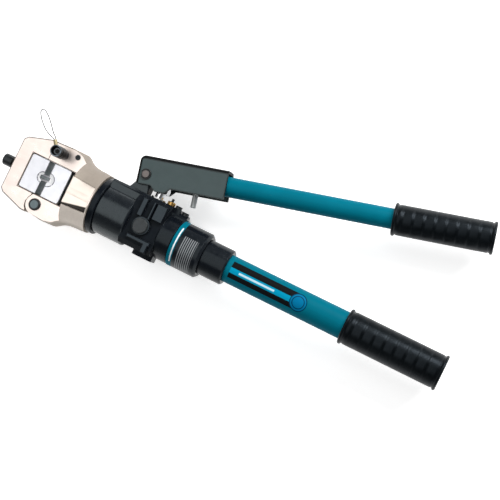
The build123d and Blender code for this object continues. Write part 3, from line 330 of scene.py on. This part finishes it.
def make_ram_steel():
    """Cream ground steel with painted shade along its edges and a painted shadow along its lower flank."""
    s = Shader("ground_ram_steel", srgb(240, 229, 218), 0.36, specular=0.08)
    s.shift(s.noise(20, detail=2), 0.02)
    s.rough(s.noise(7, detail=4), 0.05)
    s.relief(s.noise(0.25, detail=3, stretch=(1, 400, 400)), 0.006, 0.5)
    # Painted shade along the edges, and a near-black, less metallic painted shadow on the lower flank
    s.tint(s.edges(1.6, 0.01, 0.16), SHADE_BROWN, 0.75)
    shadow_top = s.ramp(s.axis(X), *SHADOW_X, *SHADOW_Y)
    below = s.ramp(s.maths("SUBTRACT", shadow_top, s.axis(Y)), 0.0, 1.2)
    s.tint(below, srgb(22, 19, 18), 0.95)
    s.link(s.ramp(below, 0.0, 1.0, 0.85, 0.0), s.bsdf.inputs["Metallic"])
    return s.done()


def make_die_steel(name, face_x, flare_radius):
    """Bright ground sides with painted shade on the crimp face and along the edges, a white painted highlight on
    the flats inside the mouth of the cavity, and a line round that mouth.
    """
    s = Shader(name, srgb(227, 228, 233), 0.36)
    # Painted shade: slate on the faces that look along X, the crimp faces
    s.tint(s.facing(X, 0.75, 0.9), srgb(118, 130, 134))
    s.soft_edges(0.3)
    s.shift(s.noise(9, detail=4), 0.035)
    s.relief(s.noise(0.3, detail=2, stretch=(1, 22, 1)), 0.004, 0.5)
    s.rough(s.noise(5, detail=4), 0.06)
    out = s.distance(face_x, 0.0)
    flats = s.facing(Z, 0.3, 0.5)
    # Painted shade along the edges, then a white, less metallic painted highlight on the flats inside the mouth
    s.tint(s.edges(1.8, 0.01, 0.16), srgb(62, 50, 44), 0.8)
    mouth_highlight = s.both(s.ramp(out, flare_radius - 0.2, flare_radius, 1.0, 0.0), flats)
    s.tint(mouth_highlight, srgb(252, 253, 255))
    s.link(s.ramp(mouth_highlight, 0.0, 1.0, 0.75, 0.1), s.bsdf.inputs["Metallic"])
    line = s.both(s.band(out, flare_radius + 0.3, 0.45, 0.3), flats)
    broken = s.ramp(s.noise(3.5, detail=2), 0.34, 0.5, 0.35, 1.0)
    s.tint(s.both(line, broken), srgb(92, 92, 100))
    worn(s, srgb(110, 112, 120), 0.35, 0.6, 2.0)
    return s.done()


def black_enamel(name, specular, roughness=0.24):
    s = Shader(name, srgb(15, 19, 25), roughness, specular=specular)
    s.bsdf.inputs["Specular Tint"].default_value = (0.84, 0.97, 1.0, 1.0)
    s.soft_edges(0.6)
    s.shift(s.noise(18, detail=3), 0.12)
    s.rough(s.noise(6, detail=5), 0.06)
    s.relief(s.noise(1.6, detail=2), 0.012, 0.3)
    return s


def make_black_paint(name="black_enamel", specular=0.5):
    s = black_enamel(name, specular)
    worn(s, RUBBED_ENAMEL, 0.6, 0.55)
    return s.done()


def make_black_casting():
    """The cast sides of the pump block: dull between its raised faces, which carry a painted sheen."""
    s = black_enamel("black_casting", 0.08, roughness=0.45)
    # Painted sheen: lighter slate on the raised faces that look along Z
    raised_sheen = s.both(s.ramp(s.maths("ABSOLUTE", s.axis(Z)), *RAISED_Z), s.facing(Z, 0.8, 0.95))
    s.tint(raised_sheen, srgb(56, 63, 68))
    s.shift(s.noise(1.4, detail=3), 0.1)
    worn(s, RUBBED_ENAMEL, 0.7, 0.6)
    return s.done()


def make_housing_paint():
    """Enamel with a wrapped grey field of fine plain lines."""
    s = black_enamel("black_enamel_labelled", HANDLE_SPECULAR)
    label = s.both(s.band(s.axis(X), *LABEL_X, 0.4), s.band(s.turn(), *LABEL_TURN, 1.5))
    lines = s.band(s.maths("PINGPONG", s.axis(X), LABEL_PITCH / 2), 0.0, 0.35, 0.35)
    s.tint(label, srgb(40, 44, 48), 0.5)
    s.tint(s.both(label, lines), srgb(138, 141, 144))
    worn(s, RUBBED_ENAMEL, 0.6, 0.55)
    return s.done()


def make_bracket_paint():
    """Grey powder coat with painted shade that turns it black towards the fold and along the edges."""
    s = Shader("grey_powder_coat", srgb(56, 71, 72), 0.36, specular=0.3)
    s.soft_edges(0.5)
    s.shift(s.noise(24, detail=3), 0.06)
    s.rough(s.noise(8, detail=4), 0.05)
    s.relief(s.noise(0.5, detail=2), 0.008, 0.5)
    turned_x = s.maths("MULTIPLY", s.axis(X), -sin(HANDLE_ANGLE))
    across = s.maths("MULTIPLY_ADD", s.axis(Y), cos(HANDLE_ANGLE), turned_x)
    # Painted shade: black towards the fold and along the edges
    s.tint(s.ramp(across, *FOLD_LINE), BRACKET_SHADE_BLACK, 0.85)
    s.tint(s.edges(3.0, 0.005, 0.1), BRACKET_SHADE_BLACK, 0.9)
    worn(s, srgb(140, 146, 148), 0.5, 0.35)
    return s.done()


def make_fold_shade():
    """Near-black dull coat on the bracket's folds and narrow sides, as painted shade."""
    s = Shader("painted_shade_fold_coat", srgb(10, 12, 13), 0.5, specular=0.08)
    s.shift(s.noise(14, detail=3), 0.12)
    s.rough(s.noise(6, detail=4), 0.06)
    s.relief(s.noise(0.5, detail=2), 0.008, 0.5)
    worn(s, srgb(84, 90, 92), 0.5, 0.4)
    return s.done()


def teal_enamel(name):
    s = Shader(name, TEAL, 0.42, specular=0.03)
    s.shift(s.noise(30, detail=2), 0.05)
    s.rough(s.noise(7, detail=4), 0.05)
    s.relief(s.noise(1.1, detail=2), 0.006, 0.5)
    scuffs = s.ramp(s.noise(2.2, detail=5, stretch=(5, 1, 1)), 0.72, 0.80)
    s.tint(scuffs, srgb(70, 130, 140), 0.25)
    return s


def make_band_paint():
    """Teal band with one fine white line along the upper part of its rim."""
    s = teal_enamel("teal_band_enamel")
    line = s.both(s.band(s.axis(X), *BAND_LINE_X, 0.3), s.band(s.turn(), *BAND_LINE_TURN, 1.5))
    s.tint(line, srgb(240, 246, 248))
    return s.done()


def make_tube_paint():
    """Fixed tube: two black stripes beside a bright one, which end at a plain ringed disc."""
    s = teal_enamel("teal_enamel_striped")
    top = s.ramp(s.axis(Z), 0.0, 1.0)
    across = s.axis(Y)
    off_disc = s.distance(*DISC_AT)
    length = s.both(s.band(s.axis(X), *STRIPES_X, 0.3), top)
    length = s.both(length, s.ramp(off_disc, DISC_RADIUS, DISC_RADIUS + 0.3))
    s.tint(s.both(length, s.band(across, *BRIGHT_STRIPE_Y, 0.3)), srgb(0, 146, 184))
    for stripe in BLACK_STRIPES_Y:
        s.tint(s.both(length, s.band(across, *stripe, 0.3)), srgb(18, 20, 22))
    inlay = s.both(s.band(s.axis(X), *INLAY_X, 0.3), s.band(across, *INLAY_Y, 0.3))
    s.tint(s.both(inlay, top), srgb(196, 226, 236))
    disc = s.both(s.ramp(off_disc, DISC_RADIUS - 0.3, DISC_RADIUS, 1.0, 0.0), top)
    s.tint(disc, srgb(0, 112, 156))
    for radius in DISC_RINGS:
        s.tint(s.both(s.band(off_disc, radius, 0.4, 0.3), top), srgb(0, 52, 78))
    return s.done()


def make_black_steel(name="blackened_steel", colour=(42, 46, 48)):
    s = Shader(name, srgb(*colour), 0.34, metallic=0.5)
    s.soft_edges(0.35)
    s.shift(s.noise(5, detail=3), 0.14)
    s.rough(s.noise(3, detail=4), 0.08)
    s.relief(s.noise(0.4, detail=2), 0.006, 0.5)
    worn(s, srgb(120, 122, 122), 0.4, 0.6, 1.6)
    return s.done()


def make_pin_steel(name, place, bright_radius, bright):
    """Blackened pin whose end is lighter inside a dark rim."""
    s = Shader(name, srgb(24, 27, 29), 0.4, metallic=0.3)
    s.soft_edges(0.4)
    inside_rim = s.ramp(s.distance(*place), bright_radius - 0.9, bright_radius, 1.0, 0.0)
    s.tint(s.both(s.facing(Z, 0.8, 0.95), inside_rim), bright)
    s.shift(s.noise(2.5, detail=3), 0.12)
    s.rough(s.noise(3, detail=4), 0.08)
    s.relief(s.noise(0.4, detail=2), 0.006, 0.5)
    return s.done()


def make_knob_black():
    """Black knob with a painted highlight in patches on its rim and, on the floor of its cup, a painted highlight
    ring on the end of the pin.
    """
    s = Shader("black_knob_painted_highlights", srgb(10, 12, 13), 0.4, specular=0.12)
    out, height = s.distance(*KNOB_AT), s.axis(Z)
    outside_cup = s.ramp(out, KNOB_CUP_RADIUS - 0.3, KNOB_CUP_RADIUS + 0.3)
    # Painted highlights: slate patches on the rim, and a light ring on the pin's end
    rim_highlight = s.both(s.ramp(height, KNOB_TOP - 0.7, KNOB_TOP - 0.3), outside_cup)
    patches = s.ramp(s.noise(6.0, detail=1), 0.42, 0.55, 0.35, 1.0)
    s.tint(s.both(rim_highlight, patches), srgb(128, 138, 146))
    floor_z = KNOB_TOP - KNOB_CUP
    floor = s.ramp(height, floor_z + 0.2, floor_z + 0.6, 1.0, 0.0)
    ring = s.both(floor, s.band(out, PIN_HIGHLIGHT_RADIUS, 0.5, 0.4))
    s.tint(s.both(ring, patches), srgb(150, 158, 164))
    s.shift(s.noise(4, detail=3), 0.14)
    s.rough(s.noise(3, detail=4), 0.08)
    s.relief(s.noise(0.5, detail=2), 0.008, 0.5)
    return s.done()


def make_zinc():
    s = Shader("dull_zinc", srgb(166, 170, 170), 0.5, metallic=0.5)
    s.shift(s.noise(3, detail=4), 0.08)
    s.rough(s.noise(2, detail=4), 0.08)
    s.relief(s.noise(0.3, detail=2), 0.006, 0.5)
    worn(s, srgb(90, 92, 92), 0.5, 0.6)
    return s.done()


def make_wire():
    s = Shader("dull_stranded_wire", srgb(70, 70, 72), 0.5, specular=0.2)
    s.shift(s.noise(0.5, detail=2), 0.2)
    s.relief(s.noise(0.2, detail=2), 0.02, 0.6)
    return s.done()


def make_plain_steel():
    s = Shader("plain_steel", srgb(196, 196, 194), 0.3, metallic=1.0)
    s.soft_edges(0.3)
    s.shift(s.noise(4, detail=3), 0.06)
    s.rough(s.noise(2, detail=4), 0.08)
    s.relief(s.noise(0.25, detail=2, stretch=(1, 1, 8)), 0.005, 0.5)
    return s.done()


def make_chrome():
    s = Shader("hard_chrome", srgb(226, 228, 230), 0.12, metallic=1.0)
    s.rough(s.noise(4, detail=4), 0.04)
    return s.done()


def make_brass(name="turned_brass", colour=(206, 164, 96), roughness=0.28):
    s = Shader(name, srgb(*colour), roughness, metallic=1.0)
    s.soft_edges(0.3)
    s.shift(s.noise(4, detail=4), 0.12)
    s.rough(s.noise(2.5, detail=4), 0.08)
    s.relief(s.noise(0.3, detail=2, stretch=(20, 1, 20)), 0.006, 0.5)
    return s.done()


def make_rubber(name="moulded_rubber", colour=(6, 9, 11)):
    s = Shader(name, srgb(*colour), 0.36, specular=0.17)
    s.bsdf.inputs["Specular Tint"].default_value = (0.72, 0.86, 1.0, 1.0)
    s.shift(s.noise(12, detail=4), 0.16)
    s.rough(s.noise(6, detail=5), 0.07)
    s.relief(s.noise(0.8, detail=4), 0.02, 0.7)
    return s.done()


FINISHES = {
    "head_steel": make_head_steel(),
    "die_steel": make_die_steel("ground_outer_die_steel", OUTER_DIE_FACE, OUTER_FLARE_RADIUS),
    "black_paint": make_black_paint(),
    "bracket_paint": make_bracket_paint(),
    "teal_paint": teal_enamel("teal_enamel").done(),
    "black_steel": make_black_steel(),
    "plain_steel": make_plain_steel(),
    "chrome": make_chrome(),
    "brass": make_brass(),
    "grip_rubber": make_rubber(),
    "seal_rubber": make_rubber("seal_rubber", (30, 30, 30)),
    "wire": make_wire(),
}

HANDLE_ENAMEL = make_black_paint("black_enamel_handle", HANDLE_SPECULAR)

# Nodes whose finish differs from that of their slot
OWN_FINISHES = {
    "ram": make_ram_steel(),
    "inner_die": make_die_steel("ground_inner_die_steel", INNER_DIE_FACE, INNER_FLARE_RADIUS),
    "hinge_pin": make_pin_steel("blackened_hinge_pin", HINGE_PIN_AT, HINGE_PIN_BRIGHT,
                                srgb(96, 110, 114)),
    "pivot_pin": make_pin_steel("blackened_pivot_pin", PIVOT_PIN_AT, PIVOT_PIN_BRIGHT,
                                srgb(104, 96, 93)),
    "pivot_pin_clips": make_black_steel("blackened_clips", (15, 17, 18)),
    "release_striker": make_zinc(),
    "lock_pin_bush": make_black_paint("black_bush", 0.1),
    "lock_pin_knob": make_knob_black(),
    "teal_band": make_band_paint(),
    "fixed_handle_tube": make_tube_paint(),
    "reservoir_housing": make_housing_paint(),
    "swivel_collar": make_black_paint("black_enamel_collar", 0.12),
    "tube_nut": HANDLE_ENAMEL,
    "lanyard_ferrule": make_brass("dull_brass", (158, 146, 114), 0.5),
}


def dress(node, material):
    """Gives every face of a CAD node this material."""
    mesh = frame["nodes"][node].data
    mesh.materials.clear()
    mesh.materials.append(material)


def dress_where(node, material, chosen):
    """Gives the faces of a CAD node that chosen() picks another material."""
    mesh = frame["nodes"][node].data
    mesh.materials.append(material)
    for face in mesh.polygons:
        if chosen(face):
            face.material_index = len(mesh.materials) - 1


def between(x_low, x_high):
    """Picks the faces between two X values of the tool."""
    return lambda face: x_low < (face.center.x - ORIGIN.x) / MM < x_high


def turned_away(face):
    """Picks the faces that turn away from the tool's Z."""
    return abs(face.normal.z) < 0.97


for part in frame["record"]["subparts"]:
    dress(part["node"], OWN_FINISHES.get(part["node"], FINISHES[part["material_slot"]]))
# The bracket's faces that turn away from Z get the near-black painted shade
dress_where("handle_channel", make_fold_shade(), turned_away)
dress_where("pump_body", make_black_casting(), between(CYLINDER_END, BLOCK_END))
dress_where("pump_body", HANDLE_ENAMEL, between(BLOCK_END, NECK_END))


# ---------------------------------------------------------------- objects and meshes
def add_object(name, data):
    """Links a new object to the scene."""
    made = bpy.data.objects.new(name, data)
    bpy.context.scene.collection.objects.link(made)
    return made


def add_piece(name, mesh, body, slot_name):
    """Links a mesh as a piece that rides on a body, finished like one of the record's slots."""
    piece = add_object(name, mesh)
    mesh.materials.append(FINISHES[slot_name])
    mesh.shade_smooth()
    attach(piece, body)
    return piece


def mesh_of(name, verts, faces):
    mesh = bpy.data.meshes.new(name)
    mesh.from_pydata(verts, [], faces)
    mesh.validate()
    mesh.update()
    return mesh


def turned_mesh(name, outline, place, segments=96):
    """Closed body of revolution about the X axis of place.

    outline is a list of (x, radius) or (x, radius, depth), all in millimetres; depth is how far
    the point is sunk at the tool's upper and lower sides."""
    verts, faces = [], []
    for x, radius, *sink in outline:
        for step in range(segments):
            turn = 2 * pi * step / segments
            reach = radius - (sink[0] * upper_and_lower(turn) if sink else 0.0)
            verts.append(place @ (Vector((x, reach * cos(turn), reach * sin(turn))) * MM))
    rings = len(outline)
    for ring in range(rings):
        follow = (ring + 1) % rings
        for step in range(segments):
            side = (step + 1) % segments
            faces.append((ring * segments + step, follow * segments + step,
                          follow * segments + side, ring * segments + side))
    return mesh_of(name, verts, faces)


PLAIN_SIDES = 0.1            # sine of the turn up to which the sides of a turned body aren't sunk


def upper_and_lower(turn):
    """1 at the top and the bottom of the tool, falling to 0 at its two sides."""
    return smooth_step(min(1.0, max(0.0, (abs(sin(turn)) - PLAIN_SIDES) / (1 - PLAIN_SIDES))))


def smooth_step(rise):
    """0 to 1 as rise goes from 0 to 1, level at both ends."""
    return rise * rise * (3 - 2 * rise)


def arc_points(centre_x, centre_r, radius, start, end, count=12):
    """Points on a circle in the (x, radius) plane, angles in degrees."""
    turns = [radians(start + (end - start) * step / (count - 1)) for step in range(count)]
    return [(centre_x + radius * cos(turn), centre_r + radius * sin(turn)) for turn in turns]


# ---------------------------------------------------------------- grips
# Where each grip starts and ends along its tube, and the radii of its beads, its bands and the tube
FIXED_GRIP = (415.4, 541.8, 22.4, 20.9, 17.25)
MOVING_GRIP = (304.5, 425.2, 20.0, 18.6, 12.5)
TUBE_GAP = 0.05
GRIP_BEAD = 2.1              # radius of the rounded bead at each end
GRIP_BANDS = 8
BAND_DEPTH = 1.2             # how far the step between two finger bands is sunk
BAND_STEP = 0.20             # share of a band's length that its step takes
BAND_ROWS = 12
BAND_CURVE = 0.75            # below 1, a band rises fast behind its step and then levels out
BANDS_OFF = (4.5, 3.0)       # of the bands, from the first groove and from the bead at the far end
GROOVE_OFF = 0.9             # from the bead to the bottom of the groove beside it
GROOVE = ((-0.5, 0.5), (0.0, 0.75), (0.6, 0.5), (1.6, 0.1))   # along from its bottom, depth
CAP_RIM = ((0.35, 0.6), (0.9, 1.8), (0.9, 3.2), (0.5, 4.2))   # depth, and in from the bead's middle
DIMPLE = ((0.2, 2.4), (0.5, 1.9), (3.0, 1.6), (3.4, 1.5))     # depth and radius, in the closed end
CAP_DOME = 0.25              # depth of the ring halfway out on the closed end
CAP_DEPTH = 3.4              # thickness of the closed end
BORE_RING = 20.0             # one more ring of points in the bore, that far from the open end


def grip_outline(start, end, flange_radius, radius, tube_radius):
    """Section of a moulded grip: beads at both ends, saw-toothed finger bands between them."""
    inner_radius = tube_radius + TUBE_GAP
    bead_in, bead_out = start + GRIP_BEAD, end - GRIP_BEAD
    cap = flange_radius - GRIP_BEAD
    outline = [(start + 0.2, inner_radius), (start, inner_radius + 1.0)]
    outline += arc_points(bead_in, cap, GRIP_BEAD, 180, 20)
    neck = bead_in + GRIP_BEAD + GROOVE_OFF
    outline += [(neck + along, radius - depth) for along, depth in GROOVE]
    first, last = neck + BANDS_OFF[0], bead_out - GRIP_BEAD - BANDS_OFF[1]
    pitch = (last - first) / GRIP_BANDS
    for band in range(GRIP_BANDS):
        for row in range(BAND_ROWS):
            along = row / BAND_ROWS
            if along < BAND_STEP:
                sink = smooth_step(along / BAND_STEP)
            else:
                rest = (along - BAND_STEP) / (1 - BAND_STEP)
                sink = 1 - rest ** BAND_CURVE
            outline.append((first + (band + along) * pitch, radius, BAND_DEPTH * sink))
    neck = bead_out - GRIP_BEAD - GROOVE_OFF
    outline += [(last, radius, 0.0)]
    outline += [(neck - along, radius - depth) for along, depth in reversed(GROOVE)]
    outline += arc_points(bead_out, cap, GRIP_BEAD, 160, 20)
    outline += [(end - depth, cap - inward) for depth, inward in CAP_RIM]
    outline += [(end - CAP_DOME, cap / 2)]
    outline += [(end - depth, dimple_radius) for depth, dimple_radius in DIMPLE]
    outline += [(end - CAP_DEPTH, inner_radius), (start + BORE_RING, inner_radius)]
    return outline


def make_grips():
    fixed = Matrix.Translation(ORIGIN)
    mesh = turned_mesh("fixed_grip", grip_outline(*FIXED_GRIP), fixed)
    piece = add_piece("fixed_grip", mesh, "base", "grip_rubber")
    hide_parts("fixed_handle_grip")
    moving = HANDLE @ Matrix.Translation(Vector((0, TUBE_ACROSS, 0)) * MM)
    mesh = turned_mesh("moving_grip", grip_outline(*MOVING_GRIP), moving)
    piece = add_piece("moving_grip", mesh, "moving_handle", "grip_rubber")
    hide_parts("moving_handle_grip")


make_grips()


# ---------------------------------------------------------------- lanyard
WIRE_RADIUS = 0.55
FERRULE_DIRECTION = radians(125.0)
FERRULE_ALONG = Vector((cos(FERRULE_DIRECTION), sin(FERRULE_DIRECTION), 0))
FERRULE_LENGTH = 6.7
FERRULE_Z = 46.0
FERRULE_END = Vector((*KNOB_AT, FERRULE_Z)) + FERRULE_ALONG * (KNOB_RADIUS + FERRULE_LENGTH)
LEG_SPACING = 1.9
LOW_LEG_LENGTH = 1.5         # straight run of each end of the wire out of the ferrule
HIGH_LEG_LENGTH = 4.5


def make_lanyard():
    """The wire loop, from one end in the ferrule round to the other."""
    along = FERRULE_ALONG
    across = Vector((-along.y, along.x, 0)) * (LEG_SPACING / 2)
    low, high = FERRULE_END + across, FERRULE_END - across
    route = [
        low,
        low + along * LOW_LEG_LENGTH,
        Vector((-8.6, 52.3, 47.0)),
        Vector((-20.0, 62.0, 48.5)),
        Vector((-27.0, 72.5, 50.5)),
        Vector((-23.8, 76.4, 51.0)),
        Vector((-17.0, 73.5, 50.6)),
        Vector((-8.0, 64.5, 49.0)),
        Vector((-0.3, 54.6, 47.2)),
        high + along * HIGH_LEG_LENGTH,
        high,
    ]
    data = bpy.data.curves.new("lanyard", "CURVE")
    data.dimensions = "3D"
    spline = data.splines.new("NURBS")
    spline.points.add(len(route) - 1)
    for point, place in zip(spline.points, route):
        point.co = (*at(*place), 1.0)
    spline.order_u = 3
    spline.use_endpoint_u = True
    spline.resolution_u = 16
    data.bevel_depth = WIRE_RADIUS * MM
    data.bevel_resolution = 4
    data.use_fill_caps = True
    data.materials.append(FINISHES["wire"])
    cord = add_object("lanyard", data)
    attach(cord, "lock_pin")
    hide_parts("lanyard_loop")


make_lanyard()


# ---------------------------------------------------------------- floor, light and camera
CAMERA_AT = at(534.9, 36.2, 1349.7)
CAMERA_TO = at(272.5, 31.5, 0.0)
CAMERA_ROLL = radians(25.55)     # how far the tool's X runs downhill in the picture
CAMERA_LENS = 81.82

FLOOR_Z = 0.0
FLOOR_HALF = 8.0             # half the width of the floor, in metres
FLOOR_COLOUR = (0.93, 0.93, 0.93, 1.0)
FLOOR_GLOW = 0.75
FLOOR_LIFT = 0.6             # makes the open floor white to look at, without more light
GLOW_REACH = (0.5, 2.2)      # metres from the frame's origin over which the glow sets in
WORLD_HORIZON = 0.5
WORLD_OVERHEAD = 0.12
WORLD_RISE = (0.0, 0.75)     # rise of the sky over which the one turns into the other


def aim(thing, place, target, level):
    """Puts a camera or lamp at a place, facing target, its X turned towards the direction level."""
    back = (place - target).normalized()
    right = (level - back * level.dot(back)).normalized()
    turn = Matrix((right, back.cross(right), back)).transposed().to_4x4()
    thing.matrix_world = Matrix.Translation(place) @ turn


def make_camera():
    data = bpy.data.cameras.new("camera")
    data.sensor_width = 36.0
    data.lens = CAMERA_LENS
    data.clip_start = 0.01
    data.clip_end = 50.0
    camera = add_object("camera", data)
    aim(camera, CAMERA_AT, CAMERA_TO, Vector((cos(CAMERA_ROLL), sin(CAMERA_ROLL), 0)))
    bpy.context.scene.camera = camera


def make_floor():
    """A wide pale floor, which glows far away like a lit backdrop."""
    corners = [(side_x * FLOOR_HALF, side_y * FLOOR_HALF, FLOOR_Z)
               for side_x, side_y in ((-1, -1), (1, -1), (1, 1), (-1, 1))]
    mesh = mesh_of("floor", corners, [(0, 1, 2, 3)])
    floor = add_object("floor", mesh)
    paint = Shader("floor_paint", FLOOR_COLOUR, 0.9, specular=0.0)
    far_off = paint.node("ShaderNodeVectorMath", operation="LENGTH")
    paint.link(paint.place, far_off.inputs[0])
    glow = paint.ramp(far_off.outputs["Value"], *GLOW_REACH, 0.0, FLOOR_GLOW)
    rays = paint.node("ShaderNodeLightPath").outputs
    seen = paint.maths("MAXIMUM", rays["Is Camera Ray"], rays["Is Glossy Ray"])
    seen = paint.maths("MAXIMUM", seen, rays["Is Transmission Ray"])
    glow = paint.maths("MULTIPLY_ADD", seen, FLOOR_LIFT, glow)
    paint.bsdf.inputs["Emission Color"].default_value = (1.0, 1.0, 1.0, 1.0)
    paint.link(glow, paint.bsdf.inputs["Emission Strength"])
    mesh.materials.append(paint.done())


def make_world():
    """A studio that is bright towards the horizon and dimmer overhead."""
    world = bpy.data.worlds.new("studio")
    bpy.context.scene.world = world
    world.use_nodes = True
    tree = world.node_tree
    place = tree.nodes.new("ShaderNodeTexCoord")
    split = tree.nodes.new("ShaderNodeSeparateXYZ")
    fall = tree.nodes.new("ShaderNodeMapRange")
    fall.interpolation_type = "SMOOTHERSTEP"
    for key, number in zip(("From Min", "From Max", "To Min", "To Max"),
                           (*WORLD_RISE, WORLD_HORIZON, WORLD_OVERHEAD)):
        fall.inputs[key].default_value = number
    tree.links.new(place.outputs["Generated"], split.inputs[0])
    tree.links.new(split.outputs["Z"], fall.inputs["Value"])
    tree.links.new(fall.outputs[0], tree.nodes["Background"].inputs["Strength"])
    tree.nodes["Background"].inputs["Color"].default_value = (1.0, 1.0, 1.0, 1.0)


def make_softbox(name, place, target, width, height, level):
    """A lamp of width by height metres, whose face is level times as bright as white."""
    data = bpy.data.lights.new(name, "AREA")
    data.shape = "RECTANGLE"
    data.size = width
    data.size_y = height
    data.energy = level * pi * width * height
    aim(add_object(name, data), place, target, Vector((1, 0, 0)))


make_camera()
make_floor()
make_world()
make_softbox("softbox_over", at(-350, 150, 1500), at(-350, 150, 0), 1.1, 2.1, 1.6)
make_softbox("softbox_far", at(700, 1050, 750), at(560, 0, 0), 1.1, 0.5, 11.5)
make_softbox("softbox_strip", at(-75, 0, 1500), at(-75, 0, 0), 0.35, 0.14, 4.5)

bpy.context.scene.view_settings.view_transform = "Standard"
